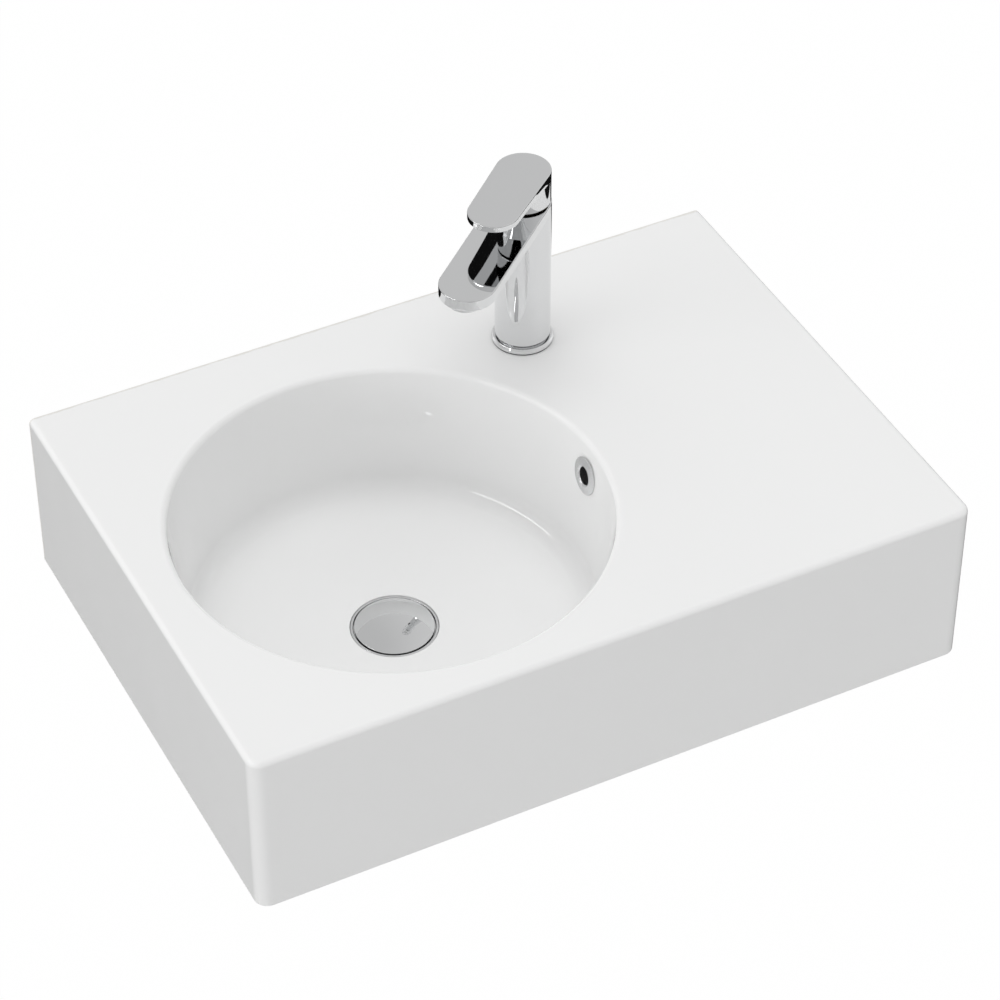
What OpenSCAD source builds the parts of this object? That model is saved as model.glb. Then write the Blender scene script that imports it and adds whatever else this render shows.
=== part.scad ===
// Wall-hung basin with a single-lever mixer tap and a push-type waste.
// Frame: +X to the right, +Y into the wall, +Z up. The origin lies on the back face,
// midway between the two wall fixing holes. All sizes are in millimetres.

/* [Basin block] */
// Width of the basin from side to side
basin_w = 600; // [560:5:700]
// Depth of the basin from the wall to the front face
basin_d = 425; // [415:5:480]
// Height of the basin from its bottom edge to its flat top
basin_h = 148; // [146:1:180]
// Rounding of the top edges at the front and the sides
rim_r = 9; // [4:0.5:12]
// Rounding of the two upright front corners
corner_r = 11; // [4:0.5:16]
// Thickness of the side skirts
side_t = 14; // [10:1:18]
// Thickness of the front skirt
front_t = 18; // [14:1:20]
// Thickness of the back wall
back_t = 16; // [12:1:24]
// Thickness of the flat top slab
shelf_t = 12; // [10:1:16]

/* [Bowl] */
// Distance of the bowl's centre from the left side
bowl_from_left = 205; // [200:1:215]
// Distance of the bowl's centre from the wall
bowl_from_back = 227; // [218:1:230]
// Radius of the bowl wall where it would meet the flat top
bowl_r = 171; // [150:1:172]
// Lean of the bowl wall from upright, in degrees
bowl_draft = 6.9; // [4:0.1:9]
// Rounding between the flat top and the bowl wall
bowl_lip_r = 5; // [3:0.5:7]
// Rounding between the bowl wall and the floor
bowl_foot_r = 16; // [10:1:24]
// Depth of the floor's edge round the waste, below the flat top
bowl_depth = 118; // [106:0.5:120]
// Fall of the floor towards the waste, in degrees
floor_fall = 3.3; // [1.5:0.1:5]
// Thickness of the bowl's shell
bowl_t = 11; // [9:0.5:12]

/* [Overflow] */
// Depth of the overflow hole's centre below the flat top
overflow_drop = 29; // [27:0.5:40]
// Radius of the hole in the ceramic wall
overflow_hole_r = 11.5; // [11:0.5:14]
// Outer radius of the trim ring
overflow_ring_r = 15.5; // [15:0.5:18]
// Radius of the opening in the trim ring
overflow_open_r = 7.3; // [5:0.1:8]
// Thickness of the trim ring's face
overflow_face_t = 2; // [1.5:0.1:3]
// Wall of the trim ring's barrel
overflow_barrel_t = 2; // [1.5:0.1:2.5]
// Length of the trim ring's barrel
overflow_barrel_l = 14; // [12:1:16]
// Width of the hidden overflow duct
duct_w = 34; // [30:1:40]
// Depth of the hidden overflow duct
duct_gap = 8; // [6:0.5:8]
// Wall of the hidden overflow duct
duct_t = 5; // [4:0.5:5]

/* [Wall fixing] */
// Distance between the two wall fixing holes
fixing_spacing = 280; // [180:5:300]
// Depth of the fixing holes below the flat top
fixing_drop = 85; // [60:1:100]
// Radius of each fixing hole
fixing_hole_r = 7.5; // [6:0.5:9]

/* [Waste] */
// Radius of the waste hole in the ceramic
waste_hole_r = 23; // [22.5:0.1:24]
// Radius of the round recess in the floor that holds the waste flange
seat_r = 35; // [34.8:0.1:38]
// Depth of the flange's top below the floor's edge
flange_sink = 0.3; // [0:0.1:1]
// Radius of the waste flange
flange_r = 34.7; // [34.2:0.1:34.7]
// Thickness of the waste flange
flange_t = 4; // [3.4:0.1:5]
// Radius of the dish in the flange that holds the plug
dish_r = 33.3; // [33:0.1:33.8]
// Depth of the dish below the flange's top
dish_depth = 2; // [1:0.1:2.4]
// Radius of the waste tube outside, over its thread
waste_tube_r = 20.955; // [20:0.005:21.5]
// Wall of the waste tube
waste_tube_t = 3.1; // [2.5:0.1:3.6]
// Length of the waste below the top of its flange
waste_len = 82; // [76:1:100]
// Thickness of the gasket under the flange
top_gasket_t = 1; // [0.8:0.1:1.5]
// Thickness of the rubber gasket under the basin
lower_gasket_t = 6; // [4:0.5:8]
// Thickness of the slip washer
slip_washer_t = 2; // [1:0.5:3]
// Height of the back nut
back_nut_h = 10; // [7:1:12]
// Width of the back nut across its flats
back_nut_af = 52; // [50:1:56]
// Outer radius of the boss under the waste hole
waste_boss_r = 36; // [34:1:40]
// Height of each overflow slot in the waste tube
slot_h = 6; // [4:0.5:7]

/* [Plug] */
// Radius of the plug cap
cap_r = 31.5; // [30:0.1:32.6]
// Thickness of the cap at its edge
cap_edge_t = 1.2; // [1:0.1:3]
// Rise of the cap's dome above its edge
cap_dome = 7; // [2:0.1:8]
// Gap between the dish and the cap's edge with the plug down
cap_gap = 1.4; // [1.2:0.1:3]
// Travel of the plug from closed to open
plug_travel = 9; // [6:0.5:10]
// Radius of the plug's stem
stem_r = 3; // [2.5:0.1:3.5]
// Outer radius of the sleeve that guides the stem
sleeve_r = 6.8; // [6.4:0.1:8]
// Radius of the spring's wire
wire_r = 0.5; // [0.4:0.05:0.6]
// Number of turns of the spring
spring_turns = 7; // [5:1:8]

/* [Tap] */
// Distance of the tap's axis from the right side
tap_from_right = 209; // [190:1:215]
// Distance of the tap's axis from the wall
tap_from_back = 83; // [70:1:90]
// Turn of the spout from the +X direction, in degrees
spout_turn = 221; // [200:1:240]
// Radius of the hole for the tap
tap_hole_r = 17.5; // [16.5:0.5:18.5]
// Radius of the tap's column
column_r = 22.4; // [22:0.1:26]
// Height of the column's flat top above the shelf
column_top = 136.4; // [120:0.2:180]
// Thickness of the spout
spout_t = 10; // [9.5:0.1:14]
// Distance from the tap's axis to the centre of the spout's round end
spout_len = 113; // [90:1:140]
// Amount by which the spout's sides stand in from the round ends
side_inset = 0.2; // [0.1:0.05:0.5]
// Radius of the neck under the column
neck_r = 20.3; // [19.5:0.1:21]
// Height of the column's lower edge above the shelf
neck_h = 7; // [6:0.5:10]
// Outer radius of the base ring
base_ring_r = 25; // [24:0.5:28]
// Height of the base ring's top above the shelf
base_ring_h = 5; // [3.5:0.5:5.5]
// Thickness of the gasket under the base ring
base_gasket_t = 1; // [0.5:0.1:1.5]
// Radius of each threaded water inlet
inlet_r = 4.5; // [4:0.1:4.8]
// Depth of each threaded water inlet
inlet_depth = 14; // [10:1:16]
// Distance between the two water inlets
inlet_spacing = 15; // [13:0.5:16]
// Distance of the water inlets in front of the tap's axis
inlet_forward = 3; // [2:0.1:3.5]

/* [Aerator] */
// Distance of the aerator's axis from the tap's axis
aerator_at = 118; // [85:1:142]
// Outer radius of the aerator's collar
aerator_r = 13; // [12:0.5:15]
// Depth of the collar below the spout
aerator_drop = 5.4; // [3:0.1:8]
// Radius of the aerator's thread in the spout
aerator_thread_r = 11.5; // [10.8:0.1:11.8]

/* [Lever] */
// Gap between the column's top and the lever's hub
hub_gap = 1.6; // [1.4:0.1:2.2]
// Radius of the lever's hub and of its round back end
hub_r = 21.9; // [21.4:0.1:24]
// Wall of the hollow hub
hub_t = 3.9; // [3:0.1:4.2]
// Height of the lever's flat top above the column's top, at the tap's axis
lever_rise = 29.7; // [28.6:0.1:34]
// Distance from the tap's axis to the centre of the lever's round tip
lever_len = 61; // [45:1:80]
// Radius of the lever's round tip
lever_tip_r = 20.2; // [16:0.1:21]
// Thickness of the lever at its hub
lever_t_hub = 7.5; // [6:0.1:8]
// Thickness of the lever at its tip
lever_t_tip = 5.6; // [4:0.1:7]
// Upward slope of the lever's flat top, in degrees
lever_slope = 1.3; // [0:0.1:4]
// Largest lift of the lever, in degrees
lift_max = 20; // [15:1:20]
// Height of the lift axis above the hub's lower edge
pivot_rise = 7.6; // [7:0.1:8]
// Distance behind the tap's axis where the hub's relief cut starts
relief_start = 4.5; // [3.5:0.1:5]

/* [Cartridge] */
// Radius of the cartridge housing
cartridge_r = 17.5; // [17.2:0.1:17.6]
// Thickness of each ceramic disc
disc_t = 3; // [2.5:0.1:3]
// Radius of the fixed ceramic disc
fixed_disc_r = 13; // [12:0.1:13.2]
// Radius of the moving ceramic disc
moving_disc_r = 10.5; // [9:0.1:10.7]
// Width of the square lever spindle
spindle_w = 8; // [6:0.5:8]
// Distance from the lift axis to the spindle's ball end
spindle_arm = 13.1; // [12.5:0.1:13.2]
// Radius of the spindle's ball end
ball_r = 2.2; // [1.8:0.1:2.2]
// Radius of the spindle's neck above the ball end
ball_neck_r = 1.4; // [1:0.1:1.5]
// Radius of the lift axis pin
pin_r = 1.5; // [1:0.1:1.6]

/* [Fasteners] */
// Radius of the fixing stud under the tap
stud_r = 4; // [3:0.5:4]
// Distance of the fixing stud behind the tap's axis
stud_back = 9; // [8:0.5:10]
// Length of the fixing stud below the shelf
stud_below = 34; // [30:1:60]
// Outer radius of the horseshoe gasket and washer
horseshoe_r = 24; // [22:0.5:26]
// Thickness of the horseshoe gasket
horseshoe_gasket_t = 3; // [2:0.5:4]
// Thickness of the horseshoe washer
horseshoe_washer_t = 2; // [1.5:0.5:3]
// Width across the flats of the stud's nut
stud_nut_af = 13; // [11:0.5:14]
// Height of the stud's nut
stud_nut_h = 12; // [8:1:16]
// Radius of the screw that holds the lever
lever_screw_r = 2.5; // [2:0.1:2.5]

/* [Clearances] */
// Gap round parts that are screwed together
thread_gap = 0.05; // [0.03:0.01:0.08]
// Gap round parts that turn or slide in each other
run_gap = 0.06; // [0.03:0.01:0.1]
// Gap round parts that sit loosely in each other
loose_gap = 0.3; // [0.2:0.05:0.4]

/* [Hidden] */
$fn = 64;
// Cutting bodies reach this far past the face that they cut
past = 1;
// Straight steps in each rounded quarter of an outline
quarter_steps = 8;

rim_z = fixing_drop;
bottom_z = rim_z - basin_h;
bowl_x = bowl_from_left - basin_w / 2;
bowl_y = -bowl_from_back;
tap_x = basin_w / 2 - tap_from_right;
tap_y = -tap_from_back;

// Levels of the waste, measured down from the flat top
flange_top = -bowl_depth - flange_sink;
dish_z = flange_top - dish_depth;
seat_z = flange_top - flange_t - top_gasket_t;
duct_top = flange_top - bowl_t;
boss_z = duct_top - duct_gap - duct_t;
waste_bottom = flange_top - waste_len;
waste_bore_r = waste_tube_r - waste_tube_t;
slot_z = duct_top - duct_gap / 2;
lower_gasket_z = boss_z - lower_gasket_t;
slip_washer_z = lower_gasket_z - slip_washer_t;
back_nut_z = slip_washer_z - back_nut_h;
funnel_flare = 4.2;
funnel_drop = 5;
groove_depth = 0.6;
groove_h = 1.5;
thread_groove_z = back_nut_z - 2 * groove_h;
gasket_set_in = 5;
lower_gasket_r = waste_boss_r - gasket_set_in;
bridge_t = 4;
bridge_hub_r = 7.5;
bridge_arm_w = 4;
bridge_drop = 9;
bridge_z = back_nut_z - bridge_drop;

// Levels of the plug, with the plug down
cap_under = dish_z + cap_gap;
cap_boss_r = 6;
cap_boss_h = 7;
seal_in_r = 24;
seal_out_r = 29;
guide_h = 4;
guide_drop = 6;
guide_top = cap_under - cap_boss_h - guide_drop;
chamber_top = guide_top - guide_h;
sleeve_t = 1.6;
chamber_r = sleeve_r - sleeve_t;
piston_t = 2.5;
over_travel = 2.5;
piston_top = chamber_top - plug_travel - over_travel;
chamber_floor_t = 3;
chamber_bottom = bridge_z + bridge_t + chamber_floor_t;
spring_h = piston_top - piston_t - chamber_bottom;
sleeve_stud_r = 4;
spring_play = 0.4;
spring_r = chamber_r - wire_r - spring_play;

// Levels of the tap, measured up from the shelf
spout_under = column_top - spout_t;
hub_z = column_top + hub_gap;
pivot_z = hub_z + pivot_rise;
lever_top = column_top + lever_rise;
roof_t = 1;
hub_roof = lever_top - lever_t_hub - roof_t;
hub_hollow_r = hub_r - hub_t;
ball_z = pivot_z - spindle_arm;
carrier_h = 3.6;
ball_drop = 0.1;
carrier_z = ball_z - ball_r - ball_drop;
moving_disc_z = carrier_z - disc_t;
fixed_disc_z = moving_disc_z - run_gap - disc_t;
base_plate_t = 3;
cartridge_z = fixed_disc_z - base_plate_t;
shoulder_z = ball_z;
nut_z = shoulder_z;
nut_set_in = 0.2;
nut_top = column_top - nut_set_in;
cartridge_nut_r = 19;
neck_out_r = 14;
neck_in_r = 12.2;
neck_drop = 1.6;
neck_top = pivot_z - neck_drop;
skirt_in_r = 15.5;
rotor_r = neck_in_r - run_gap;
rotor_z = carrier_z + carrier_h + loose_gap;
rotor_cover = 0.5;
rotor_top = pivot_z + pin_r + rotor_cover;
rotor_flange_r = 13.6;
spindle_lift = 1.6;
spindle_bottom = carrier_z + carrier_h + spindle_lift;
tilt_room = 3.9;
boss_low = rotor_top + tilt_room;
lever_boss_r = 8;
screw_len = 6;
spindle_set_in = 0.5;
spindle_top = hub_roof - spindle_set_in;
screw_z = (boss_low + hub_roof) / 2;
hollow_r = 16;
hollow_top = 30;
water_r = 3;
waterway_w = 16;
waterway_h = 4;
waterway_floor_t = 3;
waterway_z = spout_under + waterway_floor_t;
aerator_pocket = 6;
stud_hole_depth = 14;
deck_under = -shelf_t;

// Points of an arc round (cx, cy), from angle a0 to angle a1
function arc(cx, cy, r, a0, a1, steps = quarter_steps) =
    [for (i = [0:steps]) let (a = a0 + (a1 - a0) * i / steps) [cx + r * cos(a), cy + r * sin(a)]];

// Floor height term shared by both coordinates of the foot rounding's centre
function floor_term(foot, depth) = foot - depth * cos(floor_fall) - seat_r * sin(floor_fall);

// Centre of the rounding between a bowl wall of top radius wall_r and a floor at the given depth
function foot_centre(wall_r, foot, depth) =
    let (reach = wall_r * cos(bowl_draft) - foot, drop = floor_term(foot, depth),
         turn = cos(bowl_draft + floor_fall))
    [(reach * cos(floor_fall) + sin(bowl_draft) * drop) / turn,
     (cos(bowl_draft) * drop + sin(floor_fall) * reach) / turn];

// Height of the floor's cone at radius r
function floor_z(depth, r) = (r - seat_r) * tan(floor_fall) - depth;

// Floor and wall of a bowl surface that lies grow outside the inner one, from the axis outwards
function bowl_side(grow) =
    let (wall_r = bowl_r + grow / cos(bowl_draft), foot = bowl_foot_r + grow,
         depth = bowl_depth + grow / cos(floor_fall), c = foot_centre(wall_r, foot, depth))
    concat([[0, floor_z(depth, 0)]], arc(c[0], c[1], foot, floor_fall - 90, -bowl_draft));

// Radius of a grown bowl wall at height z below the flat top
function wall_at(grow, z) = bowl_r + grow / cos(bowl_draft) + z * tan(bowl_draft);

// The bowl's open space: floor, wall, rounded lip and a lid above the flat top
function bowl_space() =
    let (lip_x = bowl_r + bowl_lip_r * (1 - sin(bowl_draft)) / cos(bowl_draft))
    concat(bowl_side(0), arc(lip_x, -bowl_lip_r, bowl_lip_r, 180 - bowl_draft, 90),
        [[lip_x, past], [0, past]]);

// A closed bowl body that lies grow outside the bowl's surface and ends at height top
function bowl_body(grow, top) = concat(bowl_side(grow), [[wall_at(grow, top), top], [0, top]]);

// Moves children to the bowl's axis, level with the flat top
module at_bowl() {
    translate([bowl_x, bowl_y, rim_z]) children();
}

// Moves children to the tap's axis on the shelf, with +X along the spout
module at_tap() {
    translate([tap_x, tap_y, rim_z]) rotate([0, 0, spout_turn]) children();
}

// Moves children to the overflow hole, with +Z out of the bowl wall towards the bowl's axis
module at_overflow() {
    at_bowl() translate([wall_at(0, -overflow_drop), 0, -overflow_drop])
        rotate([0, bowl_draft - 90, 0]) children();
}

// A ring about Z between radii r_in and r_out, from z0 up by h
module ring(r_out, r_in, z0, h) {
    translate([0, 0, z0]) difference() {
        cylinder(r = r_out, h = h);
        translate([0, 0, -past]) cylinder(r = r_in, h = h + 2 * past);
    }
}

// A cylinder about Z from z0 up by h
module rod(r, z0, h) {
    translate([0, 0, z0]) cylinder(r = r, h = h);
}

// A six-sided prism across the flats af, from z0 up by h
module hexagon(af, z0, h) {
    translate([0, 0, z0]) cylinder(r = af / sqrt(3), h = h, $fn = 6);
}

// A box of the given width in Y, from x0 to x1 and z0 to z1
module slab(x0, x1, w, z0, z1) {
    translate([x0, -w / 2, z0]) cube([x1 - x0, w, z1 - z0]);
}

// Outer block of the basin: the overlap of its plan, its side view and its front view
module basin_block() {
    half = basin_w / 2;
    plan = concat([[half, 0], [-half, 0]],
        arc(corner_r - half, corner_r - basin_d, corner_r, 180, 270),
        arc(half - corner_r, corner_r - basin_d, corner_r, 270, 360));
    side = concat([[0, bottom_z], [0, rim_z]],
        arc(rim_r - basin_d, rim_z - rim_r, rim_r, 90, 180), [[-basin_d, bottom_z]]);
    front = concat([[half, bottom_z]], arc(half - rim_r, rim_z - rim_r, rim_r, 0, 90),
        arc(rim_r - half, rim_z - rim_r, rim_r, 90, 180), [[-half, bottom_z]]);
    intersection() {
        translate([0, 0, bottom_z - past]) linear_extrude(basin_h + 2 * past) polygon(plan);
        translate([-half - past, 0, 0]) rotate([90, 0, 90])
            linear_extrude(basin_w + 2 * past) polygon(side);
        translate([0, past, 0]) rotate([90, 0, 0])
            linear_extrude(basin_d + 2 * past) polygon(front);
    }
}

// A sector of a bowl body along +X, used for the overflow duct
module duct_sector(grow, top, w) {
    at_bowl() intersection() {
        rotate_extrude($fn = 128) polygon(bowl_body(grow, top));
        slab(0, bowl_r + 2 * grow, w, boss_z, 0);
    }
}

// Height of the duct's hollow above the overflow hole
duct_head = 0.5;

// Open space under the block
module underside() {
    translate([side_t - basin_w / 2, front_t - basin_d, bottom_z - past])
        cube([basin_w - 2 * side_t, basin_d - front_t - back_t, basin_h - shelf_t + past]);
}

// The bowl's shell with its overflow duct and waste boss, as it hangs in the block
module bowl_shell() {
    at_bowl() rotate_extrude($fn = 128) polygon(bowl_body(bowl_t, -shelf_t / 2));
    duct_sector(bowl_t + duct_gap + duct_t, -shelf_t / 2, duct_w + 2 * duct_t);
    at_bowl() rod(waste_boss_r, boss_z, -boss_z - bowl_depth);
}

// Hollow of the overflow duct, from behind the overflow hole down to a ring-shaped chamber round
// the waste tube, with the ceramic under the waste's recess left as thick as the shell
module duct_hollow() {
    difference() {
        duct_sector(bowl_t + duct_gap, overflow_hole_r + duct_head - overflow_drop, duct_w);
        at_bowl() rotate_extrude($fn = 128) polygon(bowl_body(bowl_t, past));
        at_bowl() rod(seat_r + bowl_t, duct_top, bowl_depth);
    }
    at_bowl() rod(waste_hole_r + duct_gap, duct_top - duct_gap, duct_gap);
}

module basin_body() {
    color("white") difference() {
        union() {
            difference() {
                basin_block();
                underside();
            }
            bowl_shell();
        }
        at_bowl() rotate_extrude($fn = 128) polygon(bowl_space());
        duct_hollow();
        at_overflow() rod(overflow_hole_r, -bowl_t - duct_gap / 2, bowl_t + duct_gap);
        at_bowl() rod(seat_r, seat_z, -seat_z - bowl_depth / 2);
        at_bowl() rod(waste_hole_r, boss_z - past, bowl_depth);
        at_tap() rod(tap_hole_r, deck_under - past, shelf_t + 2 * past);
        for (side = [-1, 1])
            translate([side * fixing_spacing / 2, past, 0]) rotate([90, 0, 0])
                cylinder(r = fixing_hole_r, h = back_t + 2 * past);
    }
}

// Depth of the hollow that the curved wall makes behind a flat ring
wall_sag = overflow_ring_r * overflow_ring_r / (2 * (bowl_r - overflow_drop * tan(bowl_draft))) + 0.1;

module overflow_ring() {
    barrel_r = overflow_open_r + overflow_barrel_t;
    color("silver") at_overflow() difference() {
        union() {
            rod(overflow_ring_r, wall_sag, overflow_face_t);
            rod(barrel_r, -overflow_barrel_l, overflow_barrel_l + wall_sag + past);
        }
        rod(overflow_open_r, -overflow_barrel_l - past, overflow_barrel_l + 3 * past + overflow_face_t);
    }
}

// Distance by which the plastic sleeve stands in from the barrel's end
sleeve_set_in = 2;

module overflow_sleeve() {
    color("dimgray") at_overflow()
        ring(overflow_hole_r - thread_gap, overflow_open_r + overflow_barrel_t + thread_gap,
            sleeve_set_in - overflow_barrel_l, overflow_barrel_l - 1.5 * sleeve_set_in);
}

module waste_body() {
    mouth_r = waste_bore_r + funnel_flare;
    throat_z = dish_z - funnel_drop;
    dish = [[0, flange_top + past], [dish_r, flange_top + past], [dish_r, dish_z],
        [mouth_r, dish_z], [waste_bore_r, throat_z], [0, throat_z]];
    color("silver") at_bowl() union() {
        difference() {
            union() {
                rod(flange_r, flange_top - flange_t, flange_t);
                rod(waste_tube_r, waste_bottom, waste_len - past);
            }
            rod(waste_bore_r, waste_bottom - past, waste_len + 2 * past);
            rotate_extrude() polygon(dish);
            slab(-flange_r, flange_r, waste_bore_r, slot_z - slot_h / 2, slot_z + slot_h / 2);
            ring(flange_r, waste_tube_r - groove_depth, thread_groove_z, groove_h);
        }
        difference() {
            union() {
                rod(bridge_hub_r, bridge_z, bridge_t);
                for (turn = [0, 120, 240])
                    rotate([0, 0, turn]) slab(0, waste_bore_r + past, bridge_arm_w, bridge_z,
                        bridge_z + bridge_t);
            }
            rod(sleeve_stud_r + thread_gap, bridge_z - past, bridge_t + 2 * past);
        }
    }
}

module waste_top_gasket() {
    color("black") at_bowl() ring(flange_r - past, waste_hole_r, seat_z, top_gasket_t);
}

module waste_lower_gasket() {
    color("black") at_bowl() ring(lower_gasket_r, waste_tube_r + thread_gap, lower_gasket_z,
        lower_gasket_t);
}

module waste_slip_washer() {
    color("white") at_bowl() ring(lower_gasket_r - past, waste_tube_r + thread_gap, slip_washer_z,
        slip_washer_t);
}

module waste_back_nut() {
    color("goldenrod") at_bowl() difference() {
        hexagon(back_nut_af, back_nut_z, back_nut_h);
        rod(waste_tube_r + thread_gap, back_nut_z - past, back_nut_h + 2 * past);
    }
}

module plug_cap() {
    // The dome is a cap of a sphere that passes through the edge and the highest point
    dome_r = (cap_r * cap_r + cap_dome * cap_dome) / (2 * cap_dome);
    edge_z = cap_under + cap_edge_t;
    outline = concat([[0, cap_under], [cap_r, cap_under], [cap_r, edge_z]],
        [for (i = [1:7]) let (r = cap_r * (1 - i / 8))
            [r, edge_z + cap_dome - dome_r + sqrt(dome_r * dome_r - r * r)]],
        [[0, edge_z + cap_dome]]);
    color("silver") at_bowl() difference() {
        union() {
            rotate_extrude() polygon(outline);
            rod(cap_boss_r, cap_under - cap_boss_h, cap_boss_h + past);
        }
        rod(stem_r + thread_gap, cap_under - cap_boss_h - past, cap_boss_h + past);
    }
}

module plug_seal() {
    color("black") at_bowl() ring(seal_out_r, seal_in_r, dish_z + loose_gap, cap_gap - loose_gap);
}

module plug_stem() {
    color("goldenrod") at_bowl() union() {
        rod(stem_r, piston_top - past, cap_under - piston_top + past);
        rod(chamber_r - run_gap, piston_top - piston_t, piston_t);
    }
}

module click_sleeve() {
    color("goldenrod") at_bowl() difference() {
        union() {
            rod(sleeve_r, bridge_z + bridge_t, guide_top - bridge_z - bridge_t);
            rod(sleeve_stud_r, bridge_z - 3, bridge_t + 4);
        }
        rod(chamber_r, chamber_bottom, chamber_top - chamber_bottom);
        rod(stem_r + run_gap, chamber_bottom + past, guide_top - chamber_bottom);
    }
}

// Rings and sides of the spring's wire
curl_rings = 8;
wire_sides = 6;
spring_climb = (spring_h - 2 * wire_r - 0.2) / spring_turns;
spring_points = [for (i = [0:spring_turns * curl_rings], j = [0:wire_sides - 1])
    let (turn = 360 * i / curl_rings, around = 360 * j / wire_sides,
         r = spring_r + wire_r * cos(around),
         z = chamber_bottom + wire_r + 0.1 + spring_climb * turn / 360 + wire_r * sin(around))
    [r * cos(turn), r * sin(turn), z]];
spring_last = spring_turns * curl_rings * wire_sides;
spring_faces = concat(
    [[for (j = [0:wire_sides - 1]) j]],
    [for (i = [0:spring_turns * curl_rings - 1], j = [0:wire_sides - 1])
        let (a = i * wire_sides + j, b = i * wire_sides + (j + 1) % wire_sides)
        [a, a + wire_sides, b + wire_sides]],
    [for (i = [0:spring_turns * curl_rings - 1], j = [0:wire_sides - 1])
        let (a = i * wire_sides + j, b = i * wire_sides + (j + 1) % wire_sides)
        [a, b + wire_sides, b]],
    [[for (j = [0:wire_sides - 1]) spring_last + wire_sides - 1 - j]]);
echo(spring_turn_gap = spring_climb - 2 * wire_r);

module click_spring() {
    color("gray") at_bowl() polyhedron(spring_points, spring_faces);
}

module tap_body() {
    color("silver") at_tap() difference() {
        union() {
            rod(column_r, neck_h, column_top - neck_h);
            rod(neck_r, base_gasket_t, neck_h);
            slab(0, spout_len, 2 * (column_r - side_inset), spout_under, column_top);
            translate([spout_len, 0, 0]) rod(column_r, spout_under, spout_t);
        }
        rod(cartridge_r + run_gap, cartridge_z, column_top);
        rod(cartridge_nut_r + thread_gap, nut_z, column_top);
        rod(hollow_r, -past, hollow_top + past);
        for (side = [-1, 1])
            translate([inlet_forward, side * inlet_spacing / 2, 0]) {
                rod(inlet_r, hollow_top - past, inlet_depth + past);
                rod(water_r, hollow_top, cartridge_z - hollow_top + past);
            }
        translate([-stud_back, 0, 0])
            rod(stud_r + thread_gap, hollow_top - past, stud_hole_depth + past);
        slab(cartridge_r - 2, aerator_at, waterway_w, waterway_z, waterway_z + waterway_h);
        translate([aerator_at, 0, 0])
            rod(aerator_thread_r + thread_gap, spout_under - past, aerator_pocket + past);
    }
}

module base_ring() {
    bevel_w = 1.3;
    bevel_h = 1.8;
    outline = [[neck_r + loose_gap, base_gasket_t], [base_ring_r, base_gasket_t],
        [base_ring_r, base_ring_h - bevel_h], [base_ring_r - bevel_w, base_ring_h],
        [neck_r + loose_gap, base_ring_h]];
    color("silver") at_tap() rotate_extrude() polygon(outline);
}

module base_gasket() {
    set_back = 0.4;
    color("black") at_tap() ring(base_ring_r - set_back, tap_hole_r, 0, base_gasket_t);
}

// Bore of the aerator's housing and thickness of the seal above it
aerator_bore_r = aerator_thread_r - 1.9;
aerator_seal_t = 0.8;

module aerator_housing() {
    color("silver") at_tap() translate([aerator_at, 0, 0]) difference() {
        union() {
            rod(aerator_r, spout_under - aerator_drop, aerator_drop);
            rod(aerator_thread_r, spout_under - past, aerator_pocket - aerator_seal_t + past);
        }
        rod(aerator_bore_r, spout_under - aerator_drop - past, aerator_drop + aerator_pocket + past);
    }
}

module aerator_insert() {
    insert_r = aerator_bore_r - thread_gap;
    // The insert's face stands in from the housing's lower edge; 13 holes go through it
    face_in = 0.8;
    hole_r = 1;
    circles = [0.38, 0.74] * insert_r;
    color("gainsboro") at_tap() translate([aerator_at, 0, 0]) difference() {
        rod(insert_r, spout_under - aerator_drop + face_in, aerator_drop + aerator_pocket - 2);
        rod(hole_r, spout_under - aerator_drop, aerator_drop + aerator_pocket);
        for (circle_r = circles, turn = [0:60:359])
            rotate([0, 0, turn + 2 * circle_r]) translate([circle_r, 0, 0])
                rod(hole_r, spout_under - aerator_drop, aerator_drop + aerator_pocket);
    }
}

module aerator_seal() {
    color("black") at_tap() translate([aerator_at, 0, 0])
        ring(aerator_thread_r - thread_gap, aerator_thread_r - 3,
            spout_under + aerator_pocket - aerator_seal_t, aerator_seal_t);
}

module cartridge_housing() {
    shoulder_t = 1.3;
    under = shoulder_z - shoulder_t;
    outline = [[skirt_in_r, fixed_disc_z], [cartridge_r, fixed_disc_z], [cartridge_r, shoulder_z],
        [neck_out_r, shoulder_z], [neck_out_r, neck_top], [neck_in_r, neck_top], [neck_in_r, under],
        [skirt_in_r, under]];
    color("dimgray") at_tap() difference() {
        rotate_extrude() polygon(outline);
        slab(skirt_in_r - 4, cartridge_r + past, 0.7 * waterway_w, fixed_disc_z + disc_t,
            shoulder_z - 2);
    }
}

// Width and depth of the groove round each port that holds its seal
seal_w = 1.6;
seal_groove_h = 1.4;
// Places of the two inlet ports; the mixed water leaves through the housing's side window
port_places = [[inlet_forward, inlet_spacing / 2], [inlet_forward, -inlet_spacing / 2]];

module cartridge_base() {
    color("gainsboro") at_tap() difference() {
        union() {
            rod(cartridge_r - 0.1, cartridge_z, base_plate_t);
            ring(skirt_in_r - 0.1, fixed_disc_r + 0.1, fixed_disc_z - past, disc_t - 0.6 + past);
        }
        for (place = port_places)
            translate([place[0], place[1], 0]) {
                rod(water_r, cartridge_z - past, base_plate_t + 2 * past);
                rod(water_r + seal_w, cartridge_z - past, seal_groove_h + past);
            }
    }
}

module cartridge_seals() {
    color("black") at_tap() for (place = port_places)
        translate([place[0], place[1], 0])
            ring(water_r + seal_w - 2 * thread_gap, water_r, cartridge_z, seal_groove_h - thread_gap);
}

module fixed_disc() {
    port_in = 0.5;
    color("white") at_tap() difference() {
        rod(fixed_disc_r, fixed_disc_z, disc_t);
        for (place = port_places)
            translate([place[0], place[1], 0]) rod(water_r - port_in, fixed_disc_z - past, disc_t + 2 * past);
    }
}

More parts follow.
